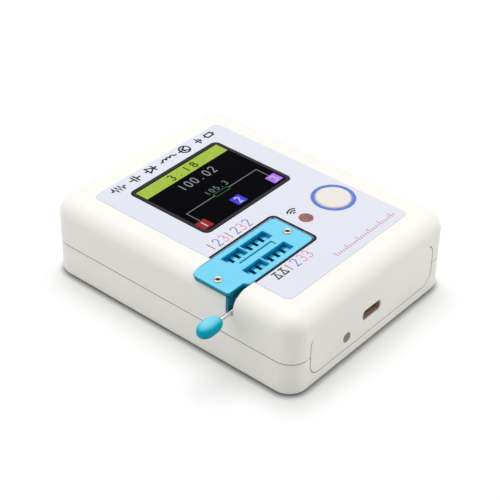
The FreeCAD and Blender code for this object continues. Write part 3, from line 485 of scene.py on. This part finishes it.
# circuit symbols across the top of the film: start, open strokes, closed strokes
circuitSigns = {
    "resistor": (-21.8, [[(0, 0), (0.8, 0)] + [(1.1 + 0.6 * i, -1.3 if i % 2 else 1.3) for i in range(6)]
                         + [(4.6, 0), (5.4, 0)]], []),
    "capacitor": (-14.4, [[(0, 0), (1.7, 0)], [(2.7, 0), (4.4, 0)], [(1.7, -1.6), (1.7, 1.6)],
                          [(2.7, -1.6), (2.7, 1.6)]], []),
    "diode": (-8.0, [[(0, 0), (1.2, 0)], [(3.6, 0), (4.8, 0)], [(3.6, -1.5), (3.6, 1.5)]],
              [[(1.2, -1.4), (1.2, 1.4), (3.4, 0)]]),
    "coil": (-1.2, [[(0, 0)] + arc(1.8, 0, 0.8, 180, 0, 8) + arc(3.4, 0, 0.8, 180, 0, 8)
                    + arc(5.0, 0, 0.8, 180, 0, 8) + [(6.8, 0)]], []),
    "transistor": (9.2, [[(-2.6, 0), (-0.5, 0)], [(-0.5, -1.0), (-0.5, 1.0)], [(-0.5, 0.3), (0.9, 1.3)],
                         [(-0.5, -0.3), (0.9, -1.3)]], [disc(0, 0, 1.75, 24)]),
    "cell": (14.0, [[(0, 0), (1.2, 0)], [(2.0, 0), (2.6, 0)], [(1.2, -1.6), (1.2, 1.6)],
                    [(2.0, -0.9), (2.0, 0.9)]], []),
    "fuse": (18.0, [[(0, 0), (0.8, 0)], [(3.4, 0), (4.2, 0)]], [box2d(0.8, -0.9, 3.4, 0.9)]),
}


def ringOf(cx, cy, inner, outer):
    return ribbon(disc(cx, cy, (inner + outer) / 2, faceMarks["ringSides"]), outer - inner, True)


inks = {"printRed": [], "printBlue": [], "printPink": [], "printRose": [], "printBlack": [], "printEdge": []}
for row, y in (("upperDigits", faceMarks["upperY"]), ("lowerDigits", faceMarks["lowerY"])):
    for letter, x, ink in faceMarks[row]:
        inks[ink] += digitsAt(letter, x, y, faceMarks["digitHeight"], faceMarks["digitStroke"])
for x in faceMarks["diodeSpots"]:
    for part, closed in (("diodeBody", True), ("diodeBar", False)):
        sign = moved(faceMarks[part], x, faceMarks["lowerY"])
        inks["printBlack"] += ribbon(sign, faceMarks["diodeStroke"], closed)
inks["printBlue"] += ringOf(*faceMarks["ring"])
inks["printRose"] += ringOf(*faceMarks["eyeRing"])
for x, openStrokes, closedStrokes in circuitSigns.values():
    for stroke in openStrokes + closedStrokes:
        sign = moved(stroke, x, faceMarks["symbolY"])
        inks["printBlack"] += ribbon(sign, faceMarks["symbolStroke"], stroke in closedStrokes)
for radius in faceMarks["waveRadii"]:
    wave = arc(*faceMarks["waveAt"], radius, *faceMarks["waveSweep"])
    inks["printBlack"] += ribbon(wave, faceMarks["waveStroke"])

# dark border round the socket opening
coverLow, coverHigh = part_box("zif_cover")
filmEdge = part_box("face_overlay")[0].x / mm
line, bend = faceMarks["borderWidth"], faceMarks["borderCorner"]
reach = faceMarks["borderGap"] + line / 2
yLow, yHigh, xRear = coverLow.y / mm - reach, coverHigh.y / mm + reach, coverHigh.x / mm + reach
border = [(filmEdge, yHigh)] + arc(xRear - bend, yHigh - bend, bend, 90, 0, 8)
border += arc(xRear - bend, yLow + bend, bend, 0, -90, 8) + [(filmEdge, yLow)]
inks["printEdge"] += ribbon(border, line)
for ink, outlines in inks.items():
    layFlat("film_" + ink, outlines, ink, "face_film", faceTop - faceMarks["inkSink"] * mm,
            faceTop + faceMarks["inkRise"] * mm)
print("film prints:", {ink: len(outlines) for ink, outlines in inks.items()})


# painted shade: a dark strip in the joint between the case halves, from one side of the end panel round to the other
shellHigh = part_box("bottom_shell")[1]
cadHalf = (shellHigh.x / mm, shellHigh.y / mm)
seam = {"inset": 0.29, "width": 0.3, "corner": 5.71, "steps": 10, "low": 10.8, "high": 11.35, "panelGap": 29.4}


def seamPath():
    x, y, gap = cadHalf[0] - seam["inset"], cadHalf[1] - seam["inset"], seam["panelGap"]
    return [(gap, -y)] + roundedBox(-x, -y, x, y, seam["corner"], seam["steps"], 3) + [(-gap, -y)]


layFlat("seam_line", ribbon(seamPath(), seam["width"]), "seamShade", "case_plastic", seam["low"] * mm,
        seam["high"] * mm)

# strips in the joint round the end panel: closed with case colour along the top, painted shade along the sides and
# below
panelLow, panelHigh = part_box("end_panel")
panelLine = {"flange": 1.0, "gap": 0.1, "corner": 4.1, "width": 0.5, "thick": 0.3, "shadeDepth": 0.12,
             "fillDepth": 0.03}


def panelStrips():
    spread = panelLine["flange"] - panelLine["gap"]
    x, r = panelHigh.x / mm - spread, panelLine["corner"]
    low, high = panelLow.z / mm + spread, panelHigh.z / mm - spread
    shade = arc(x - r, high - r, r, 60, 0, 6) + arc(x - r, low + r, r, 0, -90, 9)
    shade += arc(-x + r, low + r, r, -90, -180, 9) + arc(-x + r, high - r, r, 180, 150, 3)
    fill = arc(-x + r, high - r, r, 150, 90, 6) + arc(x - r, high - r, r, 90, 60, 3)
    return {"panel_line": (shade, "seamShade", "shadeDepth"), "panel_fill": (fill, "caseWhite", "fillDepth")}


for name, (path, finish, depth) in panelStrips().items():
    front = cadHalf[1] - panelLine[depth]
    back = front - panelLine["thick"]
    standUp(layFlat(name, ribbon(path, panelLine["width"]), finish, "case_plastic", back * mm, front * mm))
print("seams shaded")


# geometry-node trees for what repeats
def newTree(name, sizes):
    tree = bpy.data.node_groups.new(name, "GeometryNodeTree")
    tree.interface.new_socket("Geometry", in_out="INPUT", socket_type="NodeSocketGeometry")
    keys = {}
    for label, value in sizes.items():
        kind = "NodeSocketInt" if isinstance(value, int) else "NodeSocketFloat"
        keys[tree.interface.new_socket(label, in_out="INPUT", socket_type=kind).identifier] = value
    tree.interface.new_socket("Geometry", in_out="OUTPUT", socket_type="NodeSocketGeometry")
    return tree, tree.nodes.new("NodeGroupInput").outputs, keys


def rowOn(tree, count, pitch):
    step = addNode(tree, "ShaderNodeCombineXYZ", {"X": pitch})
    return addNode(tree, "GeometryNodeMeshLine", {"Count": count, "Offset": step.outputs[0]}).outputs["Mesh"]


def cylinderOn(tree, sides, radius, depth):
    inputs = {"Vertices": sides, "Radius": radius, "Depth": depth}
    return addNode(tree, "GeometryNodeMeshCylinder", inputs).outputs["Mesh"]


def raisedOn(tree, shape, height, share):
    shift = addNode(tree, "ShaderNodeCombineXYZ", {"Z": mathOn(tree, "MULTIPLY", height, share)})
    inputs = {"Geometry": shape, "Translation": shift.outputs[0]}
    return addNode(tree, "GeometryNodeTransform", inputs).outputs["Geometry"]


def carvedOn(tree, shape, cutters):
    inputs = {"Mesh 1": shape, "Mesh 2": cutters}
    return addNode(tree, "GeometryNodeMeshBoolean", inputs, operation="DIFFERENCE").outputs["Mesh"]


def joinedOn(tree, *shapes):
    return addNode(tree, "GeometryNodeJoinGeometry", {0: list(shapes)}).outputs[0]


def stampOn(tree, finish, points, shape, **more):
    stamp = addNode(tree, "GeometryNodeInstanceOnPoints", {"Points": points, "Instance": shape, **more})
    real = addNode(tree, "GeometryNodeRealizeInstances", {0: stamp.outputs["Instances"]})
    coat = addNode(tree, "GeometryNodeSetMaterial", {"Geometry": real.outputs[0], "Material": finishes[finish]})
    addNode(tree, "NodeGroupOutput", {"Geometry": coat.outputs[0]})


repeatSharp = math.radians(40)


def runTree(name, tree, keys, finish, slot, *stands):
    holder = bpy.data.objects.new(name + "_maker", bpy.data.meshes.new(name + "_seed"))
    scene.collection.objects.link(holder)
    maker = holder.modifiers.new(name, "NODES")
    maker.node_group = tree
    for identifier, value in keys.items():
        maker[identifier] = value
    mesh = bpy.data.meshes.new_from_object(holder.evaluated_get(bpy.context.evaluated_depsgraph_get()))
    mesh.name = name
    bpy.data.objects.remove(holder)
    for face in mesh.polygons:
        face.use_smooth = True
    mesh.set_sharp_from_angle(angle=repeatSharp)
    return settle(name, mesh, finish, "case", slot, *stands)


# eyelet rivets that hold the socket cover
rivetLow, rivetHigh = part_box("zif_rivets")
eyelet = {"count": 2, "head": 1.45 * mm, "ring": 0.94 * mm, "lip": 0.34 * mm, "tube": 0.72 * mm, "wall": 0.1 * mm,
          "depth": 3.2 * mm, "rise": 0.1 * mm, "plug": (1.2 * mm, 0.25 * mm), "sides": 40, "lipSides": 14}
rivetSpots = [rivetLow.x + eyelet["head"], rivetHigh.x - eyelet["head"]]


def rivetTree():
    tree, given, keys = newTree("eyelets", {
        "Count": eyelet["count"], "Pitch": rivetSpots[1] - rivetSpots[0], "Ring radius": eyelet["ring"],
        "Lip radius": eyelet["lip"], "Tube radius": eyelet["tube"], "Tube wall": eyelet["wall"],
        "Depth": eyelet["depth"]})
    circles = {}
    for part, sides in (("Ring radius", eyelet["sides"]), ("Lip radius", eyelet["lipSides"])):
        inputs = {"Resolution": sides, "Radius": given[part]}
        circles[part] = addNode(tree, "GeometryNodeCurvePrimitiveCircle", inputs).outputs["Curve"]
    lip = addNode(tree, "GeometryNodeCurveToMesh", {"Curve": circles["Ring radius"],
                                                    "Profile Curve": circles["Lip radius"]})
    outer = mathOn(tree, "ADD", given["Tube radius"], given["Tube wall"])
    longer = mathOn(tree, "MULTIPLY", given["Depth"], 2.0)
    bar = cylinderOn(tree, eyelet["sides"], outer, given["Depth"])
    bore = cylinderOn(tree, eyelet["sides"], given["Tube radius"], longer)
    tube = raisedOn(tree, carvedOn(tree, bar, bore), given["Depth"], -0.5)
    stampOn(tree, "eyeletNickel", rowOn(tree, given["Count"], given["Pitch"]),
            joinedOn(tree, lip.outputs["Mesh"], tube))
    return tree, keys


rivets = runTree("cover_rivets", *rivetTree(), "eyeletNickel", "rivet_metal", "zif_rivets")
moveMesh(rivets.data, rivetSpots[0], (rivetLow.y + rivetHigh.y) / 2, coverHigh.z + eyelet["rise"])
plugs = [disc(x / mm, (rivetLow.y + eyelet["head"]) / mm, eyelet["tube"] / mm) for x in rivetSpots]
layFlat("eyelet_plugs", plugs, "eyeletDark", "rivet_metal", *[coverHigh.z - depth for depth in eyelet["plug"]])
print("rivets placed")

# the locking groove in the socket cover, with a sheet of painted shade at its bottom
groove = {"y": -15.65, "ends": (-22.9, -9.2), "hook": (-9.43, -17.28), "width": 0.48, "sheet": (0.46, 0.33)}
grooveLines = ribbon([(x, groove["y"]) for x in groove["ends"]], groove["width"])
grooveLines += ribbon([(groove["hook"][0], groove["y"] - groove["width"] / 2), groove["hook"]], groove["width"])
layFlat("groove_floor", grooveLines, "socketInner", "socket_blue",
        *[coverHigh.z - depth * mm for depth in groove["sheet"]])
print("groove shaded")


# red ruler printed along the near edge of the film
rulerMarks = {"start": -2.6 * mm, "y": -33.9 * mm, "count": 27, "pitch": 1.0 * mm, "short": 1.0 * mm,
              "long": 1.9 * mm, "every": 5.0, "line": 0.26 * mm, "thick": 0.03 * mm, "rise": 0.005 * mm}


def rulerTree():
    tree, given, keys = newTree("ruler", {
        "Count": rulerMarks["count"], "Pitch": rulerMarks["pitch"], "Every": rulerMarks["every"],
        "Short": rulerMarks["short"], "Long": rulerMarks["long"], "Line": rulerMarks["line"]})
    index = addNode(tree, "GeometryNodeInputIndex").outputs[0]
    small = mathOn(tree, "GREATER_THAN", mathOn(tree, "MODULO", index, given["Every"]), 0.5)
    reach = addNode(tree, "ShaderNodeMix", {"Factor": small, "A": given["Long"], "B": given["Short"]})
    size = addNode(tree, "ShaderNodeCombineXYZ", {"X": given["Line"], "Y": reach.outputs["Result"],
                                                  "Z": rulerMarks["thick"]})
    tick = addNode(tree, "GeometryNodeMeshCube", {"Size": (1, 1, 1)})
    fromEnd = addNode(tree, "GeometryNodeTransform", {"Geometry": tick.outputs["Mesh"], "Translation": (0, 0.5, 0)})
    stampOn(tree, "printRed", rowOn(tree, given["Count"], given["Pitch"]), fromEnd.outputs["Geometry"],
            Scale=size.outputs[0])
    return tree, keys


ruler = runTree("film_ruler", *rulerTree(), "printRed", "face_film")
moveMesh(ruler.data, rulerMarks["start"], rulerMarks["y"], faceTop + rulerMarks["rise"])
print("ruler printed")


# cross-head screws in the underside; the two cuts of the cross differ a little in depth
screwLow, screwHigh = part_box("case_screws")
screwShape = {"head": 2.3 * mm, "headHeight": 1.7 * mm, "headSides": 40, "shank": 1.25 * mm, "shankSides": 24,
              "shankStart": 1.2 * mm, "shankShare": 0.92,
              "cuts": [(2.7 * mm, 0.62 * mm, 1.6 * mm), (0.62 * mm, 2.7 * mm, 1.52 * mm)]}


def screwTree():
    head = screwShape["head"]
    tree, given, keys = newTree("caseScrews", {
        "Head radius": head, "Head height": screwShape["headHeight"],
        "Shank radius": screwShape["shank"], "Shank length": screwHigh.z - screwLow.z,
        "Span X": screwHigh.x - screwLow.x - 2 * head, "Span Y": screwHigh.y - screwLow.y - 2 * head})
    disk = cylinderOn(tree, screwShape["headSides"], given["Head radius"], given["Head height"])
    bars = [addNode(tree, "GeometryNodeMeshCube", {"Size": size}).outputs["Mesh"] for size in screwShape["cuts"]]
    cross = carvedOn(tree, raisedOn(tree, disk, given["Head height"], 0.5), bars)
    rod = cylinderOn(tree, screwShape["shankSides"], given["Shank radius"], given["Shank length"])
    above = addNode(tree, "GeometryNodeTransform", {
        "Geometry": raisedOn(tree, rod, given["Shank length"], 0.5),
        "Translation": (0, 0, screwShape["shankStart"]), "Scale": (1, 1, screwShape["shankShare"])})
    grid = addNode(tree, "GeometryNodeMeshGrid", {"Vertices X": 2, "Vertices Y": 2, "Size X": given["Span X"],
                                                  "Size Y": given["Span Y"]})
    stampOn(tree, "steelBright", grid.outputs["Mesh"], joinedOn(tree, cross, above.outputs["Geometry"]))
    return tree, keys


screws = runTree("cross_screws", *screwTree(), "steelBright", slotOf["case_screws"], "case_screws")
moveMesh(screws.data, (screwLow.x + screwHigh.x) / 2, (screwLow.y + screwHigh.y) / 2, screwLow.z)
print("screws placed")


# a tan sheet over the slot between the port's mouth and the face of the end panel: painted shade, darker and browner
# than the case
portLow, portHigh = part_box("usb_shell")
portLiner = {"margin": 0.37, "wall": 0.36, "corner": 1.27, "steps": 8, "inset": 0.22}


def linerPath():
    edge = portLiner["margin"] - portLiner["wall"] / 2
    low, high = (portLow.x / mm - edge, portLow.z / mm - edge), (portHigh.x / mm + edge, portHigh.z / mm + edge)
    return roundedBox(*low, *high, portLiner["corner"] - portLiner["wall"] / 2, portLiner["steps"])


standUp(layFlat("port_liner", ribbon(linerPath(), portLiner["wall"], True), "linerTan", slotOf["usb_shell"],
                -portLow.y, (cadHalf[1] - portLiner["inset"]) * mm))

# gilt pads on the tongue of the charging port
tongueLow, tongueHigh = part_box("usb_tongue")
padRow = {"count": 5, "pitch": 0.8 * mm, "size": (0.4 * mm, 2.6 * mm, 0.06 * mm), "setBack": 1.5 * mm}


def padTree():
    tree, given, keys = newTree("portPads", {"Count": padRow["count"], "Pitch": padRow["pitch"]})
    pad = addNode(tree, "GeometryNodeMeshCube", {"Size": padRow["size"]})
    stampOn(tree, "springBrass", rowOn(tree, given["Count"], given["Pitch"]), pad.outputs["Mesh"])
    return tree, keys


pads = runTree("port_pads", *padTree(), "springBrass", slotOf["zif_contacts"])
moveMesh(pads.data, (tongueLow.x + tongueHigh.x) / 2 - padRow["pitch"] * (padRow["count"] - 1) / 2,
         tongueLow.y + padRow["setBack"], tongueHigh.z)
print("port pads placed")


# turned pieces: rings of a profile, in mm, about the axis x or z
def latheMesh(name, profile, sides, axis):
    work = bmesh.new()
    rings = []
    for along, radius in [(a * mm, r * mm) for a, r in profile]:
        ring = []
        for k in range(sides if radius > 1e-9 else 1):
            a = 2 * math.pi * k / sides
            across, up = radius * math.cos(a), radius * math.sin(a)
            ring.append(work.verts.new((along, across, up) if axis == "x" else (across, up, along)))
        rings.append(ring)
    for one, two in zip(rings, rings[1:]):
        for k in range(sides):
            corners = [one[k % len(one)], one[(k - 1) % len(one)], two[(k - 1) % len(two)], two[k % len(two)]]
            work.faces.new(list(dict.fromkeys(corners)))
    for face in work.faces:
        face.smooth = True
    return meshFrom(work, name)


turnedSharp = math.radians(50)

# knob on the lever: an egg on the arm
knobLow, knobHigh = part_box("zif_knob")
knobShape = {"shorter": 0.7, "thinner": 0.14, "start": 0.4, "middle": 0.6, "armCurve": (3.2, 2.2),
             "tipCurve": (2.2, 2.0), "sides": 48, "steps": 48}


def turnedKnob():
    length = (knobHigh.x - knobLow.x) / mm - knobShape["shorter"]
    fat = (knobHigh.y - knobLow.y) / 2 / mm - knobShape["thinner"]
    middle = knobShape["middle"]
    profile = []
    for i in range(knobShape["steps"] + 1):
        t = 0.5 - 0.5 * math.cos(math.pi * i / knobShape["steps"])
        reach = (middle - t) / middle if t < middle else (t - middle) / (1 - middle)
        power, root = knobShape["armCurve"] if t < middle else knobShape["tipCurve"]
        profile.append((-length * t, fat * max(0.0, 1 - reach ** power) ** (1 / root)))
    mesh = latheMesh("lever_knob", profile, knobShape["sides"], "x")
    moveMesh(mesh, knobHigh.x - knobShape["start"] * mm, (knobLow.y + knobHigh.y) / 2, (knobLow.z + knobHigh.z) / 2)
    return mesh


settle("lever_knob", turnedKnob(), "knobBlue", "lever", "socket_blue", "zif_knob")
print("knob turned")


# push button: a dished cap with a rolled rim, on its flange and skirt
capLow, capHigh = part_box("button_cap")
capShape = {"radius": 5.1, "socket": 1.9, "socketDepth": 1.5, "flangeLow": 3.0, "flangeHigh": 4.4, "rim": 0.25,
            "rimSteps": 9, "rimFlat": 0.4, "dish": 0.1, "dishPower": 6, "dishSteps": 12, "sides": 96}


def turnedCap():
    radius, rim, steps = capShape["radius"], capShape["rim"], capShape["dishSteps"]
    flange = (capHigh.x - capLow.x) / 2 / mm
    top = (capHigh.z - capLow.z) / mm
    profile = [(capShape["socketDepth"], 0), (capShape["socketDepth"], capShape["socket"]), (0, capShape["socket"]),
               (0, radius), (capShape["flangeLow"], radius), (capShape["flangeLow"], flange),
               (capShape["flangeHigh"], flange), (capShape["flangeHigh"], radius)]
    profile += [(z, r) for r, z in arc(radius - rim, top - rim, rim, 0, 90, capShape["rimSteps"])]
    edge = radius - rim - capShape["rimFlat"]
    for share in [k / steps for k in range(steps, -1, -1)]:
        profile.append((top - capShape["dish"] * (1 - share ** capShape["dishPower"]), edge * share))
    mesh = latheMesh("button_top", profile, capShape["sides"], "z")
    mesh.set_sharp_from_angle(angle=turnedSharp)
    moveMesh(mesh, (capLow.x + capHigh.x) / 2, (capLow.y + capHigh.y) / 2, capLow.z)
    return mesh


settle("button_top", turnedCap(), "buttonCream", "button", slotOf["button_cap"], "button_cap")
print("button turned")


# lens of the receiver, just below the film
eyeLow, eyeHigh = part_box("ir_receiver")
eyeShape = {"radius": 1.48, "crown": 0.22, "sink": 0.02, "body": 1.0, "steps": 10, "sides": 48}


def turnedLens():
    radius, steps = eyeShape["radius"], eyeShape["steps"]
    top = faceTop / mm - eyeShape["sink"]
    profile = [(top - eyeShape["body"], 0), (top - eyeShape["body"], radius)]
    for share in [k / steps for k in range(steps, -1, -1)]:
        profile.append((top - eyeShape["crown"] * share ** 2, radius * share))
    mesh = latheMesh("receiver_lens", profile, eyeShape["sides"], "z")
    mesh.set_sharp_from_angle(angle=turnedSharp)
    moveMesh(mesh, (eyeLow.x + eyeHigh.x) / 2, (eyeLow.y + eyeHigh.y) / 2, 0)
    return mesh


settle("receiver_lens", turnedLens(), "receiverBrown", "case", slotOf["ir_receiver"])
print("lens turned")


# the display picture, drawn just above the pane; a line has its text, middle, height, stroke and pitch
paneLow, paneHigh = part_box("display_window")
screen = {
    "rimInset": 0.62, "rimCorner": 1.5, "rimWidth": 0.95, "rimSteps": 8,
    "header": (-17.5, 23.6, 17.5, 28.2), "headLine": ("3.18", 0.0, 25.9, 2.8, 0.5, 3.2),
    "bigLine": ("100.02", 0.0, 20.1, 3.0, 0.36, 2.6), "smallLine": ("105.3", 0.0, 12.8, 2.0, 0.28, 1.9),
    "wireY": 10.4, "wireEnds": (-15.4, 15.1), "resistor": (-3.2, 9.7, 2.6, 11.1), "stroke": 0.3,
    "squares": [("1", -15.8, 3.3, "glowRed"), ("2", -0.2, 4.1, "glowBlue"), ("3", 15.1, 3.5, "glowPurple")],
    "square": 3.9, "number": (2.6, 0.5),
    "sink": 0.005, "rimRise": 0.01, "rise": 0.012, "numberRise": 0.02,
}


def layGlow(name, outlines, finish, rise="rise"):
    low, high = paneHigh.z - screen["sink"] * mm, paneHigh.z + screen[rise] * mm
    layFlat(name, outlines, finish, "display_glass", low, high)


def paneEdge():
    inset = screen["rimInset"]
    low, high = (paneLow.x / mm + inset, paneLow.y / mm + inset), (paneHigh.x / mm - inset, paneHigh.y / mm - inset)
    return roundedBox(*low, *high, screen["rimCorner"], screen["rimSteps"])


layGlow("pane_rim", ribbon(paneEdge(), screen["rimWidth"], True), "paneRim", "rimRise")
layGlow("screen_header", [box2d(*screen["header"])], "glowLime")
layGlow("screen_header_digits", digitsAt(*screen["headLine"]), "glowOlive", "numberRise")
layGlow("screen_reading", digitsAt(*screen["bigLine"]), "glowText")
layGlow("screen_value", digitsAt(*screen["smallLine"]), "glowLine")
wireY, half = screen["wireY"], screen["square"] / 2
start, stop = screen["wireEnds"]
startFoot, stopFoot = screen["squares"][0][2] + half, screen["squares"][2][2] + half
wires = ribbon([(start, startFoot), (start, wireY), (screen["resistor"][0], wireY)], screen["stroke"])
wires += ribbon([(screen["resistor"][2], wireY), (stop, wireY), (stop, stopFoot)], screen["stroke"])
layGlow("screen_wires", wires, "glowLine")
layGlow("screen_resistor", ribbon(box2d(*screen["resistor"]), screen["stroke"], True), "glowGreen")
for letter, x, y, glow in screen["squares"]:
    layGlow("screen_square_" + letter, [box2d(x - half, y - half, x + half, y + half)], glow)
    layGlow("screen_number_" + letter, digitsAt(letter, x, y, *screen["number"]), "glowWhite", "numberRise")
print("screen drawn")


# floor, light and camera; the floor has a tint that lights the object and one that is seen
studio = {
    "sky": 0.37, "floor": (0.72, 0.99), "wander": 0.005, "blotch": 3, "rough": 0.9, "lift": 0.07,
    "contactReach": 2.0 * mm, "contactShade": 0.1, "floorHalf": 3.0, "floorZ": -0.05 * mm,
    "lamps": {"overheadBox": (3.65, 0.6, (0.14, 0.16, 0.78)), "leftBox": (1.75, 0.7, (-0.64, 0.42, 0.34)),
              "rightBox": (1.95, 0.7, (0.42, -0.64, 0.34))},
}
white = (1, 1, 1, 1)


# 1 for rays that see, mirror or look through to the surroundings
def seenOn(tree):
    path = addNode(tree, "ShaderNodeLightPath").outputs
    direct = mathOn(tree, "MAXIMUM", path["Is Camera Ray"], path["Is Glossy Ray"])
    return mathOn(tree, "MAXIMUM", direct, path["Is Transmission Ray"])


def layFloor():
    side, wander = studio["floorHalf"], studio["wander"]
    mesh = bpy.data.meshes.new("floor")
    mesh.from_pydata([(x, y, studio["floorZ"]) for x, y in box2d(-side, -side, side, side)], [], [(0, 1, 2, 3)])
    floor = bpy.data.objects.new("floor", mesh)
    scene.collection.objects.link(floor)
    material, tree, shader = startShader("paleFloor")
    seen = seenOn(tree)
    tints = [rampOn(tree, noiseOn(tree, studio["blotch"]), (tint - wander,) * 3, (tint + wander,) * 3)
             for tint in studio["floor"]]
    # painted contact shadow: the floor's colour and lift darken within a short reach of the case
    near = addNode(tree, "ShaderNodeAmbientOcclusion", {"Distance": studio["contactReach"]})
    shade = rangeOn(tree, near.outputs["AO"], studio["contactShade"], 1.0)  # darker where the case meets the floor
    lift = mathOn(tree, "MULTIPLY", seen, studio["lift"])
    fillIn(tree, shader, {
        "Base Color": mixOn(tree, 1.0, mixOn(tree, seen, *tints), shade, "MULTIPLY"), "Roughness": studio["rough"],
        specular: 0.0, "Emission Color": white, "Emission Strength": mathOn(tree, "MULTIPLY", lift, shade)})
    mesh.materials.append(material)


def hangLights():
    world = bpy.data.worlds.new("softRoom")
    scene.world = world
    world.use_nodes = True
    tree = world.node_tree
    level = rangeOn(tree, seenOn(tree), studio["sky"], 1.0)
    fillIn(tree, tree.nodes["Background"], {"Color": white, "Strength": level})
    for name, (energy, size, spot) in studio["lamps"].items():
        lamp = bpy.data.lights.new(name, "AREA")
        lamp.energy = energy
        lamp.size = size
        holder = bpy.data.objects.new(name, lamp)
        holder.location = spot
        holder.rotation_euler = (-Vector(spot)).to_track_quat("-Z", "Y").to_euler()
        scene.collection.objects.link(holder)


cameraPose = {"at": (-0.27310, -0.22556, 0.27075), "right": (0.6457, -0.7634, 0.0170),
              "up": (0.4449, 0.3943, 0.8041), "lens": 108.81, "sensor": 36, "nearest": 0.01}


def placeCamera():
    lens = bpy.data.cameras.new("photoCamera")
    lens.lens = cameraPose["lens"]
    lens.sensor_width = cameraPose["sensor"]
    lens.clip_start = cameraPose["nearest"]
    holder = bpy.data.objects.new("photoCamera", lens)
    right, up = Vector(cameraPose["right"]), Vector(cameraPose["up"])
    turn = Matrix((right, up, right.cross(up))).transposed()
    holder.matrix_world = Matrix.Translation(cameraPose["at"]) @ turn.to_4x4()
    scene.collection.objects.link(holder)
    scene.camera = holder


layFloor()
hangLights()
placeCamera()
print("studio ready")
scene.view_settings.view_transform = "Standard"
